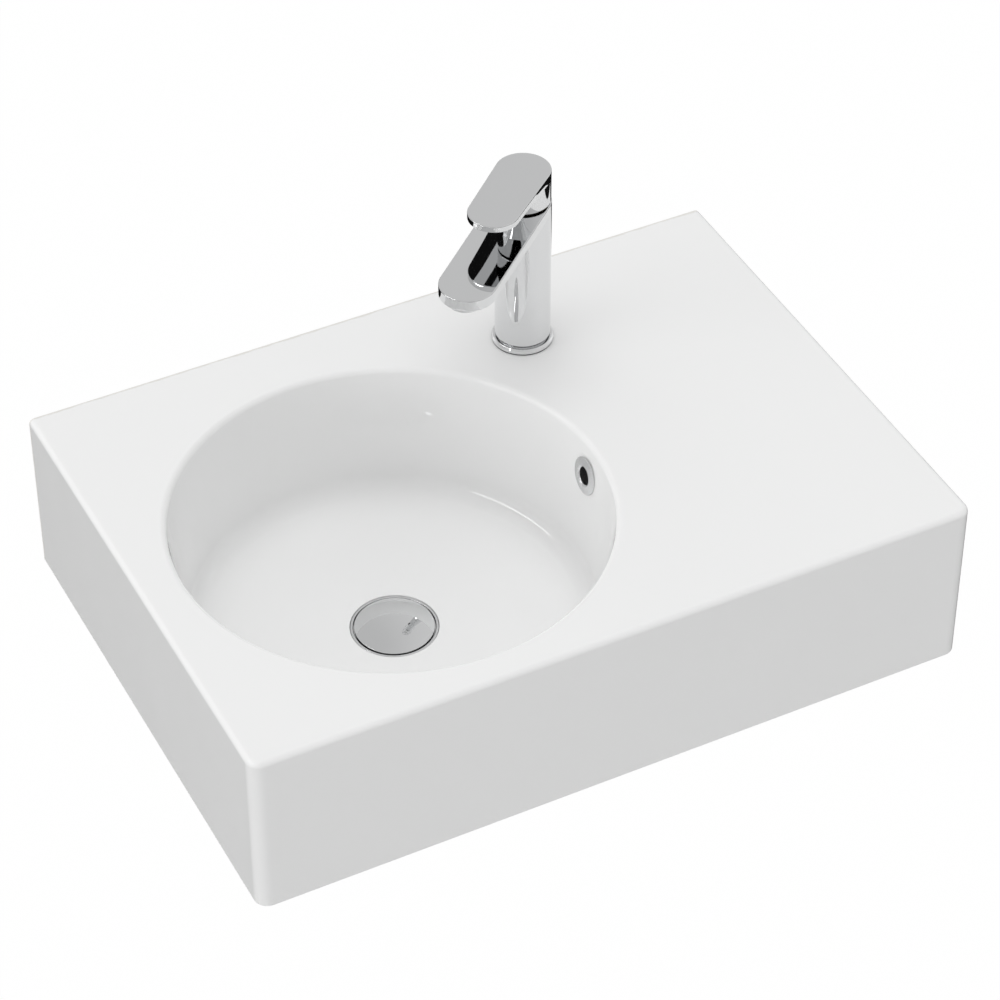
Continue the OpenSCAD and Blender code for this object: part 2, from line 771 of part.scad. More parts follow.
module moving_disc() {
    color("white") at_tap() difference() {
        rod(moving_disc_r, moving_disc_z, disc_t);
        slab(-moving_disc_r / 3, moving_disc_r / 2, moving_disc_r, moving_disc_z - past,
            moving_disc_z + disc_t / 2);
    }
}

module disc_carrier() {
    color("orange") at_tap() ring(ball_r + 4.8, ball_r + loose_gap, carrier_z, carrier_h);
}

// Room for the spindle's tilt behind and in front of it in the rotor's slot
back_play = 1.6;
front_play = 3.8;

module lever_rotor() {
    color("ivory") at_tap() difference() {
        union() {
            rod(rotor_r, rotor_z, rotor_top - rotor_z);
            rod(rotor_flange_r, neck_top + run_gap, rotor_top - neck_top - run_gap);
        }
        slab(-spindle_w / 2 - back_play, spindle_w / 2 + front_play, spindle_w + 2 * loose_gap,
            rotor_z - past, rotor_top + past);
        translate([0, 0, pivot_z]) rotate([90, 0, 0])
            translate([0, 0, -basin_h]) cylinder(r = pin_r + thread_gap, h = 2 * basin_h);
    }
}

module pivot_pin() {
    color("silver") at_tap() translate([0, 0, pivot_z]) rotate([90, 0, 0])
        translate([0, 0, 1 - rotor_r]) cylinder(r = pin_r, h = 2 * rotor_r - 2);
}

module lever_spindle() {
    color("goldenrod") at_tap() difference() {
        union() {
            slab(-spindle_w / 2, spindle_w / 2, spindle_w, spindle_bottom, spindle_top);
            rod(ball_neck_r, ball_z, spindle_bottom - ball_z + past);
            translate([0, 0, ball_z]) sphere(r = ball_r);
        }
        translate([0, 0, pivot_z]) rotate([90, 0, 0])
            translate([0, 0, -spindle_w]) cylinder(r = pin_r + run_gap, h = 2 * spindle_w);
    }
}

module cartridge_nut() {
    color("goldenrod") at_tap() difference() {
        ring(cartridge_nut_r, neck_out_r + loose_gap, nut_z, nut_top - nut_z);
        for (turn = [0:90:359])
            rotate([0, 0, turn]) slab(neck_out_r + 2, cartridge_nut_r + past, 3, nut_top - 2,
                nut_top + past);
    }
}

// Depth of the screw's cap in the hub, and the height of the screw's hexagon socket
screw_cap_in = 2.2;
screw_socket = 2.5;

// Plan of the lever: two round ends joined by straight sides that stand in a little
module lever_plan(z0, h) {
    rod(hub_r, z0, h);
    translate([lever_len, 0, 0]) rod(lever_tip_r, z0, h);
    translate([0, 0, z0]) linear_extrude(h) polygon([[0, side_inset - hub_r],
        [lever_len, side_inset - lever_tip_r], [lever_len, lever_tip_r - side_inset],
        [0, hub_r - side_inset]]);
}

module lever_plate() {
    tip = lever_len + lever_tip_r + past;
    back = -hub_r - past;
    low = lever_top - lever_t_hub;
    tip_z = lever_top + tip * tan(lever_slope);
    outline = [[back, lever_top + back * tan(lever_slope)], [back, low], [hub_r, low],
        [tip, tip_z - lever_t_tip], [tip, tip_z]];
    intersection() {
        lever_plan(low - past, lever_t_hub + 5);
        translate([0, hub_r + past, 0]) rotate([90, 0, 0])
            linear_extrude(2 * hub_r + 2 * past) polygon(outline);
    }
}

// Cut under the back of the hub, which gives the lever room to tilt
module hub_relief() {
    far = 2 * hub_r;
    outline = [[-relief_start, hub_z - past], [-relief_start, hub_z],
        [-far, hub_z + (far - relief_start) * tan(lift_max + 1)], [-far, hub_z - past]];
    translate([0, hub_r + past, 0]) rotate([90, 0, 0])
        linear_extrude(2 * hub_r + 2 * past) polygon(outline);
}

module lever() {
    socket_w = spindle_w + 2 * thread_gap;
    color("silver") at_tap() difference() {
        union() {
            difference() {
                union() {
                    rod(hub_r, hub_z, lever_top - hub_z - lever_t_hub + past);
                    lever_plate();
                }
                rod(hub_hollow_r, hub_z - past, hub_roof - hub_z + past);
                hub_relief();
            }
            rod(lever_boss_r, boss_low, hub_roof - boss_low + past);
        }
        slab(-socket_w / 2, socket_w / 2, socket_w, boss_low - past, spindle_top + thread_gap);
        translate([0, 0, screw_z]) rotate([0, -90, 0]) {
            cylinder(r = lever_screw_r + thread_gap, h = hub_r + past);
            translate([0, 0, hub_r - screw_cap_in])
                cylinder(r = lever_screw_r + 1, h = screw_cap_in + past);
        }
    }
}

module lever_screw() {
    color("gray") at_tap() translate([-spindle_w / 2 - 0.1, 0, screw_z]) rotate([0, -90, 0])
        difference() {
            cylinder(r = lever_screw_r, h = screw_len);
            translate([0, 0, screw_len - screw_socket]) cylinder(r = 1.4, h = screw_len, $fn = 6);
        }
}

module screw_cap() {
    color("gray") at_tap() intersection() {
        translate([screw_cap_in - hub_r - 0.1, 0, screw_z]) rotate([0, -90, 0])
            cylinder(r = lever_screw_r + 1 - thread_gap, h = screw_cap_in + past);
        rod(hub_r, hub_z, lever_rise);
    }
}

module fixing_stud() {
    color("silver") at_tap() translate([-stud_back, 0, 0])
        rod(stud_r, deck_under - stud_below, stud_below - deck_under + hollow_top + stud_hole_depth - 2);
}

// Outline of the horseshoe pieces: a disc with a slot for the hoses and a hole for the stud
module horseshoe(z0, h) {
    slot_w = inlet_spacing + 11;
    at_tap() difference() {
        rod(horseshoe_r, z0, h);
        slab(stud_r + 2 - stud_back, horseshoe_r + past, slot_w, z0 - past, z0 + h + past);
        translate([-stud_back, 0, 0]) rod(stud_r + thread_gap, z0 - past, h + 2 * past);
    }
}

module horseshoe_gasket() {
    color("black") horseshoe(deck_under - horseshoe_gasket_t, horseshoe_gasket_t);
}

module horseshoe_washer() {
    color("silver") horseshoe(deck_under - horseshoe_gasket_t - horseshoe_washer_t, horseshoe_washer_t);
}

module stud_nut() {
    top = deck_under - horseshoe_gasket_t - horseshoe_washer_t;
    color("goldenrod") at_tap() translate([-stud_back, 0, 0]) difference() {
        hexagon(stud_nut_af, top - stud_nut_h, stud_nut_h);
        rod(stud_r + thread_gap, top - stud_nut_h - past, stud_nut_h + 2 * past);
    }
}

basin_body();
overflow_ring();
overflow_sleeve();
waste_body();
waste_top_gasket();
waste_lower_gasket();
waste_slip_washer();
waste_back_nut();
plug_cap();
plug_seal();
plug_stem();
click_sleeve();
click_spring();
tap_body();
base_ring();
base_gasket();
aerator_housing();
aerator_insert();
aerator_seal();
cartridge_housing();
cartridge_base();
cartridge_seals();
fixed_disc();
moving_disc();
disc_carrier();
lever_rotor();
pivot_pin();
lever_spindle();
cartridge_nut();
lever();
lever_screw();
screw_cap();
fixing_stud();
horseshoe_gasket();
horseshoe_washer();
stud_nut();
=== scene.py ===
"""Looks of the wall-hung basin, its mixer tap and its waste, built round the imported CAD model.

Frame: +X to the right, +Y into the wall, +Z up, with the origin on the back face midway between the
two wall fixing holes. Sizes in the classes are in millimetres, and meshes are written in metres.
"""

import logging
import math
from collections.abc import Callable, Sequence
from dataclasses import dataclass, field
from enum import Enum
from typing import Any

import bmesh
import bpy
import numpy as np
from mathutils import Matrix, Vector
from mathutils.geometry import delaunay_2d_cdt


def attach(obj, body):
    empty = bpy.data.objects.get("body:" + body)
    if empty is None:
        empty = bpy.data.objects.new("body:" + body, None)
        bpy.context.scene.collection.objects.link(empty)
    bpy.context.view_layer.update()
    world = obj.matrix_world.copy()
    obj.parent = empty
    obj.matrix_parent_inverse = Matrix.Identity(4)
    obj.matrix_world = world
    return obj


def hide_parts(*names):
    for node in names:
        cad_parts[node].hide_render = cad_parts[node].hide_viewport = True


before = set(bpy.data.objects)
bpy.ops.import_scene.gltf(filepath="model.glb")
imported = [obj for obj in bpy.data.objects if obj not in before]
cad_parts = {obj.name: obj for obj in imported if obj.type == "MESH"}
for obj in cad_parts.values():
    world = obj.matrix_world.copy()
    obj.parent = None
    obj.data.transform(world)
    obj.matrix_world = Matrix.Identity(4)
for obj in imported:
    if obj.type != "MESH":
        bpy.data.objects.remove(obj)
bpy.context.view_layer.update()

LOG = logging.getLogger("basin")
# One millimetre in metres
MM = 0.001
# Height of the flat top, axis and lean of the bowl, drop of the overflow, and axis of the tap
RIM_Z = 85.0
BOWL_X, BOWL_Y, BOWL_DRAFT = -95.0, -227.0, 6.9
OVERFLOW_DROP = 29.0
TAP_X, TAP_Y = 91.0, -83.0
# Radius at which a line that is turned stops short of its axis
AXIS_R = 0.001
# Distance from an arc of the points that hold its flat sides, on large and on small pieces, and
# steps in an arc
HOLD = 0.5
FINE_HOLD = 0.1
ARC_STEPS = 10
# Most of a side that an arc takes, and most of it that its holding point takes
ARC_SHARE = 0.45
HOLD_SHARE = 0.04
# Edges that bend more are shaded sharp, and points that lie closer, in metres, are merged
SHARP_ANGLE = math.radians(32)
MERGE_DISTANCE = 2e-6
# Points of a flat outline that lie closer, in millimetres, are one
FLAT_DISTANCE = 1e-6
# How far a cutter reaches past the face that it opens, in millimetres
PAST = 2.0

Array = np.ndarray
Tone = tuple[float, float, float]


class Body(Enum):
    """Bodies of the moving model that a new piece can ride on."""

    BASIN = "basin"
    PLUG = "plug"
    LEVER = "mixer_lever"


# Shader maths


class Num:
    """A number in a node tree. Python's operators on it add Math nodes."""

    def __init__(self, graph: "Graph", socket: Any) -> None:
        """Wraps a socket.

        Args:
            graph: The node tree's helper.
            socket: An output socket that carries a number.
        """
        self.graph = graph
        self.socket = socket

    def _math(self, operation: str, *values: Any) -> "Num":
        """Adds one Math node.

        Args:
            operation: Name of the node's operation.
            values: Its inputs in order, as numbers or Nums.

        Returns:
            The node's result.
        """
        made = self.graph.node("ShaderNodeMath", {"operation": operation}, dict(enumerate(values)))
        return Num(self.graph, made.outputs[0])

    def __add__(self, other: Any) -> "Num":
        """Sum."""
        return self._math("ADD", self, other)

    __radd__ = __add__

    def __sub__(self, other: Any) -> "Num":
        """Difference."""
        return self._math("SUBTRACT", self, other)

    def __rsub__(self, other: Any) -> "Num":
        """Difference the other way round."""
        return self._math("SUBTRACT", other, self)

    def __mul__(self, other: Any) -> "Num":
        """Product."""
        return self._math("MULTIPLY", self, other)

    __rmul__ = __mul__

    def __truediv__(self, other: Any) -> "Num":
        """Quotient."""
        return self._math("DIVIDE", self, other)

    def __pow__(self, other: Any) -> "Num":
        """Power."""
        return self._math("POWER", self, other)

    def __gt__(self, other: Any) -> "Num":
        """One where the value is greater than the other, and nought elsewhere."""
        return self._math("GREATER_THAN", self, other)

    def least(self, other: Any) -> "Num":
        """The smaller of two values."""
        return self._math("MINIMUM", self, other)

    def most(self, other: Any) -> "Num":
        """The greater of two values."""
        return self._math("MAXIMUM", self, other)

    def sine(self) -> "Num":
        """Sine of an angle in radians."""
        return self._math("SINE", self)

    def step(self, low: float, high: float) -> "Num":
        """Smooth step from nought at low to one at high.

        Args:
            low: Value at which the step starts.
            high: Value at which it ends.

        Returns:
            The step's value.
        """
        made = self.graph.node(
            "ShaderNodeMapRange",
            {"interpolation_type": "SMOOTHSTEP"},
            {"Value": self, "From Min": low, "From Max": high},
        )
        return Num(self.graph, made.outputs[0])


class Graph:
    """Makes and links the nodes of one node tree."""

    def __init__(self, tree: bpy.types.NodeTree) -> None:
        """Empties the tree and keeps it.

        Args:
            tree: Node tree of a material or of the world.
        """
        self.tree = tree
        tree.nodes.clear()

    def node(self, kind: str, settings: dict[str, Any] | None = None,
             inputs: dict[Any, Any] | None = None) -> bpy.types.Node:
        """Makes any node.

        Args:
            kind: The node's type.
            settings: Its properties.
            inputs: Values, Nums or sockets by input name or number.

        Returns:
            The new node.
        """
        made = self.tree.nodes.new(kind)
        for name, value in (settings or {}).items():
            setattr(made, name, value)
        for name, value in (inputs or {}).items():
            target = made.inputs[name]
            source = value.socket if isinstance(value, Num) else value
            if isinstance(source, bpy.types.NodeSocket):
                self.tree.links.new(source, target)
            else:
                target.default_value = source
        return made

    def place(self) -> Any:
        """Socket with the point's place in the object, in metres."""
        return self.node("ShaderNodeTexCoord").outputs["Object"]

    def rays(self) -> list[Num]:
        """Tells which kind of ray sees a surface.

        Returns:
            Ones or noughts: from the camera, off a gloss, and through a clear thing.
        """
        path = self.node("ShaderNodeLightPath")
        return [Num(self, path.outputs[name])
                for name in ("Is Camera Ray", "Is Glossy Ray", "Is Transmission Ray")]

    def shader(self, kind: str, **inputs: Any) -> Any:
        """Makes a node of a kind with inputs by name and gives its first output."""
        return self.node(kind, None, inputs).outputs[0]

    def mix(self, share: Num, first: Any, second: Any) -> Any:
        """Mixes two shaders by the second one's share."""
        return self.node("ShaderNodeMixShader", None, {0: share, 1: first, 2: second}).outputs[0]

    def surface(self, shader: Any, kind: str = "ShaderNodeOutputMaterial") -> None:
        """Ends the tree with an output node of the kind given."""
        self.node(kind, None, {"Surface": shader})

    def axes(self, vector: Any) -> tuple[Num, Num, Num]:
        """The three parts of a vector."""
        parts = self.node("ShaderNodeSeparateXYZ", None, {0: vector})
        return tuple(Num(self, socket) for socket in parts.outputs)

    def noise(self, scale: float, detail: float = 3.0, roughness: float = 0.5) -> Num:
        """Smooth noise from nought to one, in the object's own coordinates.

        Args:
            scale: Waves per metre.
            detail: Number of finer layers.
            roughness: Weight of the finer layers.

        Returns:
            The noise value.
        """
        return Num(self, self.shader("ShaderNodeTexNoise", Vector=self.place(), Scale=scale,
                                     Detail=detail, Roughness=roughness))

    def blend(self, share: Any, first: Any, second: Any) -> Any:
        """Mixes two colours, which are inputs 6 and 7 and output 2 of the Mix node.

        Args:
            share: Share of the second colour.
            first: Colour or socket at nought.
            second: Colour or socket at one.

        Returns:
            Socket with the mixed colour.
        """
        tones = [(*tone[:3], 1.0) if isinstance(tone, tuple) else tone for tone in (first, second)]
        made = self.node("ShaderNodeMix", {"data_type": "RGBA"}, {0: share, 6: tones[0], 7: tones[1]})
        return made.outputs[2]

    def bump(self, height: Num, distance: float) -> Any:
        """Normal of a surface raised by a height, where one stands for a distance in metres."""
        return self.shader("ShaderNodeBump", Height=height, Distance=distance)


def grey(level: float) -> tuple[float, float, float, float]:
    """Opaque grey of a level from nought to one."""
    return (level, level, level, 1.0)


def new_object(name: str, data: Any) -> bpy.types.Object:
    """Puts a mesh, a lamp or a camera into the scene.

    Args:
        name: The new object's name.
        data: What it shows.

    Returns:
        The new object, at the origin.
    """
    made = bpy.data.objects.new(name, data)
    bpy.context.scene.collection.objects.link(made)
    return made


def new_material(name: str) -> tuple[bpy.types.Material, Graph]:
    """Makes a material whose node tree is empty.

    Args:
        name: The material's name.

    Returns:
        The material and its tree's helper.
    """
    made = bpy.data.materials.new(name)
    made.use_nodes = True
    return made, Graph(made.node_tree)


# Finishes


@dataclass(frozen=True)
class Finish:
    """A finish with a base colour and a gloss."""

    name: str
    colour: Tone
    rough: float
    metal: float = 0.0

    def inputs(self, graph: Graph) -> dict[str, Any]:
        """Shader inputs that vary over the surface, which each kind of finish gives.

        Args:
            graph: Helper of the material's tree.

        Returns:
            Values or links by socket name.
        """
        raise NotImplementedError

    def material(self) -> bpy.types.Material:
        """Makes the material once.

        Returns:
            The new material, or the one that an earlier call made.
        """
        made = bpy.data.materials.get(self.name)
        if made is None:
            made, graph = new_material(self.name)
            inputs = {"Metallic": self.metal, **self.inputs(graph)}
            graph.surface(graph.node("ShaderNodeBsdfPrincipled", None, inputs).outputs[0])
        return made


@dataclass(frozen=True)
class Glaze(Finish):
    """Fired white glaze, with bare biscuit on the ground back face and on the bottom edge.

    The inside of the overflow duct behind the bowl's right wall is painted dark, as painted shade.
    Its sizes are in metres: its radius at the flat top, its depth, half its width and the height of
    its head.
    """

    biscuit: Tone = (0.78, 0.765, 0.735)
    biscuit_rough: float = 0.62
    # Painted shade: dark colour for the inside of the overflow duct
    painted_duct_shade: Tone = (0.2, 0.19, 0.18)
    duct_r: float = 0.1815
    duct_deep: float = 0.011
    duct_half: float = 0.0176
    duct_head: float = 0.0684
    back_y: float = -0.0022
    foot_z: float = -0.0618
    relief: float = 0.0004

    def in_duct(self, x: Num, y: Num, z: Num) -> Num:
        """One inside the overflow duct, which leans with the bowl's wall, where shade is painted;
        nought elsewhere.

        Args:
            x: The point's X.
            y: Its Y.
            z: Its Z.

        Returns:
            The mask's value.
        """
        aside, ahead = x - BOWL_X * MM, y - BOWL_Y * MM
        lean = math.tan(math.radians(BOWL_DRAFT))
        reach = (aside * aside + ahead * ahead) ** 0.5 - (z - RIM_Z * MM) * lean
        across = (ahead * ahead) ** 0.5
        return ((reach > self.duct_r) * (self.duct_r + self.duct_deep - reach > 0.0) * (aside > 0.0)
                * (self.duct_half - across > 0.0) * (self.duct_head - z > 0.0))

    def inputs(self, graph: Graph) -> dict[str, Any]:
        """Glaze that pools a little, with a slow ripple, a dull back and foot, and painted shade in
        the duct.

        Args:
            graph: Helper of the material's tree.

        Returns:
            Values or links by socket name.
        """
        x, y, z = graph.axes(graph.place())
        upward = graph.axes(graph.node("ShaderNodeNewGeometry").outputs["Normal"])[2]
        ragged = (graph.noise(scale=90.0) - 0.5) * 0.003
        back = (y + ragged).step(self.back_y, self.back_y + 0.001)
        foot = 1.0 - (z + ragged).step(self.foot_z, self.foot_z + 0.0012)
        bare = back.most(foot * (upward * -1.0).step(0.2, 0.5))
        pooled = graph.noise(scale=7.0, detail=2.0)
        tone = graph.blend(pooled, self.colour, tuple(0.985 * c for c in self.colour))
        # Painted shade: the inside of the overflow duct is coloured dark in place of the shade in that
        # hidden channel
        tone = graph.blend(self.in_duct(x, y, z), tone, self.painted_duct_shade)
        speck = graph.noise(scale=1400.0, detail=2.0) * 0.1
        ripple = graph.noise(scale=11.0, detail=1.0)
        peel = graph.noise(scale=260.0, detail=2.0)
        grain = graph.noise(scale=1500.0)
        height = (ripple * 0.9 + peel * 0.03) * (1.0 - bare) + grain * bare * 0.12
        glossy, dull = self.rough + pooled * 0.01, self.biscuit_rough + speck
        return {
            "Base Color": graph.blend(bare, tone, self.biscuit),
            "Roughness": glossy * (1.0 - bare) + bare * dull,
            "Normal": graph.bump(height, self.relief),
        }


@dataclass(frozen=True)
class Plate(Finish):
    """Metal plate with faint wipe marks in its gloss."""

    wipe: float = 0.02
    grain: float = 0.0

    def inputs(self, graph: Graph) -> dict[str, Any]:
        """Gloss that varies with wipe marks, and a fine grain where the plate is satin.

        Args:
            graph: Helper of the material's tree.

        Returns:
            Values or links by socket name.
        """
        smear = graph.noise(scale=24.0, detail=4.0, roughness=0.6)
        darker = tuple(0.97 * c for c in self.colour)
        made = {
            "Base Color": graph.blend(smear, self.colour, darker),
            "Roughness": self.rough + smear * self.wipe,
        }
        if self.grain:
            made["Normal"] = graph.bump(graph.noise(scale=2200.0, detail=2.0), self.grain)
        return made


@dataclass(frozen=True)
class Turned(Finish):
    """Turned metal with fine tool rings round an upright axis."""

    ring_gap: float = 0.0004
    ring_depth: float = 0.00001

    def inputs(self, graph: Graph) -> dict[str, Any]:
        """Rings in height and gloss, with a slow tarnish in the colour.

        Args:
            graph: Helper of the material's tree.

        Returns:
            Values or links by socket name.
        """
        height = graph.axes(graph.place())[2]
        wander = graph.noise(scale=60.0) * 0.4
        ring = ((height / self.ring_gap + wander) * 2.0 * math.pi).sine() * 0.5 + 0.5
        tarnish = graph.noise(scale=55.0, detail=4.0, roughness=0.6)
        dull = tuple(0.7 * c for c in self.colour)
        return {
            "Base Color": graph.blend(tarnish * 0.6, self.colour, dull),
            "Roughness": self.rough + tarnish * 0.12,
            "Normal": graph.bump(ring, self.ring_depth),
        }


@dataclass(frozen=True)
class Moulded(Finish):
    """Moulded rubber or plastic with a fine spark-eroded grain."""

    grain: float = 900.0
    depth: float = 0.00004

    def inputs(self, graph: Graph) -> dict[str, Any]:
        """Grain in height, and small changes in colour and gloss.

        Args:
            graph: Helper of the material's tree.

        Returns:
            Values or links by socket name.
        """
        cloud = graph.noise(scale=35.0)
        lighter = tuple(min(1.0, c * 1.12 + 0.004) for c in self.colour)
        return {
            "Base Color": graph.blend(cloud, self.colour, lighter),
            "Roughness": self.rough + cloud * 0.08,
            "Normal": graph.bump(graph.noise(self.grain, detail=2.0), self.depth),
        }


GLAZE = Glaze("white_glaze", (0.91, 0.912, 0.91), 0.015)
CHROME = Plate("polished_chrome", (0.785, 0.79, 0.795), 0.02, metal=1.0, wipe=0.015)
SATIN = Plate("brushed_satin", (0.71, 0.715, 0.72), 0.2, metal=1.0, wipe=0.06, grain=0.000004)
ZINC = Plate("zinc_plate", (0.6, 0.61, 0.6), 0.28, metal=1.0, wipe=0.15, grain=0.00001)
BRASS = Turned("turned_brass", (0.78, 0.6, 0.3), 0.2, metal=1.0)
RUBBER = Moulded("nitrile_rubber", (0.02, 0.02, 0.022), 0.55)
WHITE_PLASTIC = Moulded("milky_acetal", (0.74, 0.75, 0.74), 0.35, depth=0.00002)
DARK_PLASTIC = Moulded("charcoal_acetal", (0.03, 0.03, 0.034), 0.4)
ALUMINA = Moulded("lapped_alumina", (0.82, 0.8, 0.74), 0.12, grain=2500.0, depth=0.000006)


# Surfaces


def rounded(corners: Sequence[tuple[Any, Any, float]], steps: int = ARC_STEPS,
            hold: float = HOLD) -> Array:
    """Rounds the corners of an open line.

    Each corner with a radius is replaced by the arc that touches both its sides: the tangent
    points lie r times the cotangent of half the corner's angle from it, and points between them
    are turned about the arc's centre by equal angles. A point hold away from each tangent point
    keeps the flat sides flat when the surface is shaded smooth.

    Args:
        corners: X, Z and radius of each corner. X and Z may be arrays, one value per column.
        steps: Steps in each arc.
        hold: Distance of the holding points.

    Returns:
        Points, with shape rows by columns by 2, or rows by 2 for plain numbers.
    """
    points = [np.stack(np.broadcast_arrays(*map(np.asarray, corner[:2])), -1).astype(float)
              for corner in corners]
    points = list(np.broadcast_arrays(*points))
    rows = [points[0]]
    for before, point, after, corner in zip(points, points[1:], points[2:], corners[1:]):
        if corner[2] <= 0:
            rows.append(point)
            continue
        one, two = before - point, after - point
        long_one, long_two = (np.linalg.norm(side, axis=-1, keepdims=True) for side in (one, two))
        one, two = one / long_one, two / long_two
        half = np.arccos(np.clip((one * two).sum(-1, keepdims=True), -1, 1)) / 2
        shorter = np.minimum(long_one, long_two)
        reach = np.minimum(corner[2] / np.tan(half), ARC_SHARE * shorter)
        radius = reach * np.tan(half)
        middle = one + two
        middle /= np.linalg.norm(middle, axis=-1, keepdims=True)
        centre = point + middle * radius / np.sin(half)
        start, end = point + one * reach - centre, point + two * reach - centre
        sweep = math.pi - 2 * half
        share = np.linspace(0, 1, steps + 1).reshape((-1,) + (1,) * start.ndim)
        turned = (np.sin((1 - share) * sweep) * start + np.sin(share * sweep) * end) / np.sin(sweep)
        spare = np.minimum(hold, HOLD_SHARE * shorter)
        rows.append(point + one * (reach + spare))
        rows.extend(centre + turned)
        rows.append(point + two * (reach + spare))
    rows.append(points[-1])
    return np.stack(rows)


def around(angles: Array) -> Array:
    """Points on the unit circle at angles in radians, count by 2."""
    return np.stack([np.cos(angles), np.sin(angles)], -1)


def circle(radius: float, count: int) -> Array:
    """Points on a circle at equally spaced angles, count by 2."""
    return radius * around(np.linspace(0, 2 * math.pi, count, endpoint=False))


def standing(flat: Array, profile: Array) -> Array:
    """Gives every point of each row of flat points the height of that row in a profile."""
    return np.concatenate([flat, np.repeat(profile[:, None, 1:], flat.shape[1], 1)], -1)


@dataclass
class Skin:
    """Collects surfaces in millimetres and makes one closed mesh of them."""

    points: list[Array] = field(default_factory=list)
    faces: list[list[int]] = field(default_factory=list)
    count: int = 0

    def grid(self, rows: Array, closed: bool = False) -> "Skin":
        """Adds a surface given as a grid of points.

        Args:
            rows: Points, rows by columns by 3.
            closed: Whether the last column joins the first.

        Returns:
            This skin.
        """
        high, wide = rows.shape[:2]
        index = self.count + np.arange(high * wide).reshape(high, wide)
        if closed:
            index = np.concatenate([index, index[:, :1]], 1)
        quads = np.stack([index[:-1, :-1], index[:-1, 1:], index[1:, 1:], index[1:, :-1]], -1)
        self.points.append(rows.reshape(-1, 3))
        self.faces.extend(quads.reshape(-1, 4).tolist())
        self.count += high * wide
        return self

    def lathe(self, profile: Array, segments: int = 96) -> "Skin":
        """Adds a surface turned round the Z axis: radius and height carried round a circle.

        Args:
            profile: Radius and height, rows by 2.
            segments: Number of steps round the axis.

        Returns:
            This skin.
        """
        flat = profile[:, None, :1] * circle(1.0, segments)[None]
        return self.grid(standing(flat, profile), closed=True)

    def flat(self, loops: Sequence[Array], raised: Callable[[Array], Array]) -> "Skin":
        """Fills the space between an outline and the holes in it with triangles.

        Args:
            loops: The outline and then its holes, each count by 2.
            raised: Turns the flat points into points in space.

        Returns:
            This skin.
        """
        flat = np.concatenate(loops)
        edges, first = [], 0
        for loop in loops:
            turn = np.arange(len(loop))
            edges += np.stack([first + turn, first + np.roll(turn, -1)], -1).tolist()
            first += len(loop)
        made = delaunay_2d_cdt([Vector(p) for p in flat.tolist()], edges, [], 2, FLAT_DISTANCE)
        corners = np.array([tuple(p) for p in made[0]])
        triangles = np.array(made[2])
        middle = corners[triangles].mean(1)
        inside = np.logical_xor.reduce([_within(middle, loop) for loop in loops])
        self.points.append(raised(corners))
        self.faces.extend((self.count + triangles[inside]).tolist())
        self.count += len(corners)
        return self

    def mesh(self, name: str, place: Matrix | None = None) -> bpy.types.Object:
        """Merges the seams, turns every face outwards and makes an object of the result.

        Args:
            name: The object's name.
            place: Where the local millimetre frame lies, or None for the part's own frame.

        Returns:
            The object, at the origin, with its place in its mesh.
        """
        data = bpy.data.meshes.new(name)
        data.from_pydata(np.concatenate(self.points).tolist(), [], self.faces)
        body = bmesh.new()
        body.from_mesh(data)
        bmesh.ops.remove_doubles(body, verts=body.verts, dist=MERGE_DISTANCE / MM)
        bmesh.ops.dissolve_degenerate(body, edges=body.edges, dist=MERGE_DISTANCE / MM)
        bmesh.ops.recalc_face_normals(body, faces=body.faces)
        open_edges = sum(not edge.is_manifold for edge in body.edges)
        if open_edges:
            LOG.warning("%s has %d open edges", name, open_edges)
        body.to_mesh(data)
        body.free()
        data.transform(Matrix.Scale(MM, 4) @ (place or Matrix.Identity(4)))
        return new_object(name, data)


def _within(points: Array, loop: Array) -> Array:
    """Tells which points lie inside a closed outline, by counting the sides to their right.

    Args:
        points: Points to test, count by 2.
        loop: The outline, count by 2.

    Returns:
        True for each point inside.
    """
    a, b = loop[None], np.roll(loop, -1, 0)[None]
    x, y = points[:, None, 0], points[:, None, 1]
    spans = (a[..., 1] > y) != (b[..., 1] > y)
    with np.errstate(divide="ignore", invalid="ignore"):
        cross = a[..., 0] + (y - a[..., 1]) * (b[..., 0] - a[..., 0]) / (b[..., 1] - a[..., 1])
    return (spans & (x < cross)).sum(1) % 2 == 1


def lift(axis: int, value: float) -> Callable[[Array], Array]:
    """Turns flat points into points in space that share one value on an axis."""
    return lambda flat: np.insert(flat, axis, value, 1)


def peg(name: str, line: Sequence[tuple[float, float]], place: Matrix,
        segments: int = 48) -> bpy.types.Object:
    """Makes a closed round solid about a local Z axis.

    Args:
        name: The solid's name.
        line: Radius and height of the points of its side.
        place: The local frame.
        segments: Number of steps round the axis.

    Returns:
        The solid.
    """
    ends = [(AXIS_R, line[0][1]), *line, (AXIS_R, line[-1][1])]
    return Skin().lathe(np.array(ends, float), segments).mesh(name, place)


def lathed(name: str, corners: Sequence[tuple[float, float, float]], place: Matrix,
           segments: int = 96, steps: int = 5) -> bpy.types.Object:
    """Makes a round piece from its closed section, with rounded corners.

    Args:
        name: The piece's name.
        corners: Radius, height and rounding of each corner, from a point on a flat side.
        place: The local frame.
        segments: Number of steps round the axis.
        steps: Steps in each rounding.

    Returns:
        The piece.
    """
    line = rounded([*corners, corners[0]], steps, FINE_HOLD)
    return Skin().lathe(line, segments).mesh(name, place)


def prism(name: str, outline: Array, axis: int, reach: float, place: Matrix) -> bpy.types.Object:
    """Makes a closed solid by carrying an outline along an axis to both sides of nought.

    Args:
        name: The solid's name.
        outline: The outline's points in the two other axes, count by 2.
        axis: Number of the axis.
        reach: Distance from nought to each end.
        place: The local frame.

    Returns:
        The solid.
    """
    lifts = lift(axis, -reach), lift(axis, reach)
    skin = Skin().grid(np.stack([raised(outline) for raised in lifts]), closed=True)
    for raised in lifts:
        skin.flat([outline], raised)
    return skin.mesh(name, place)


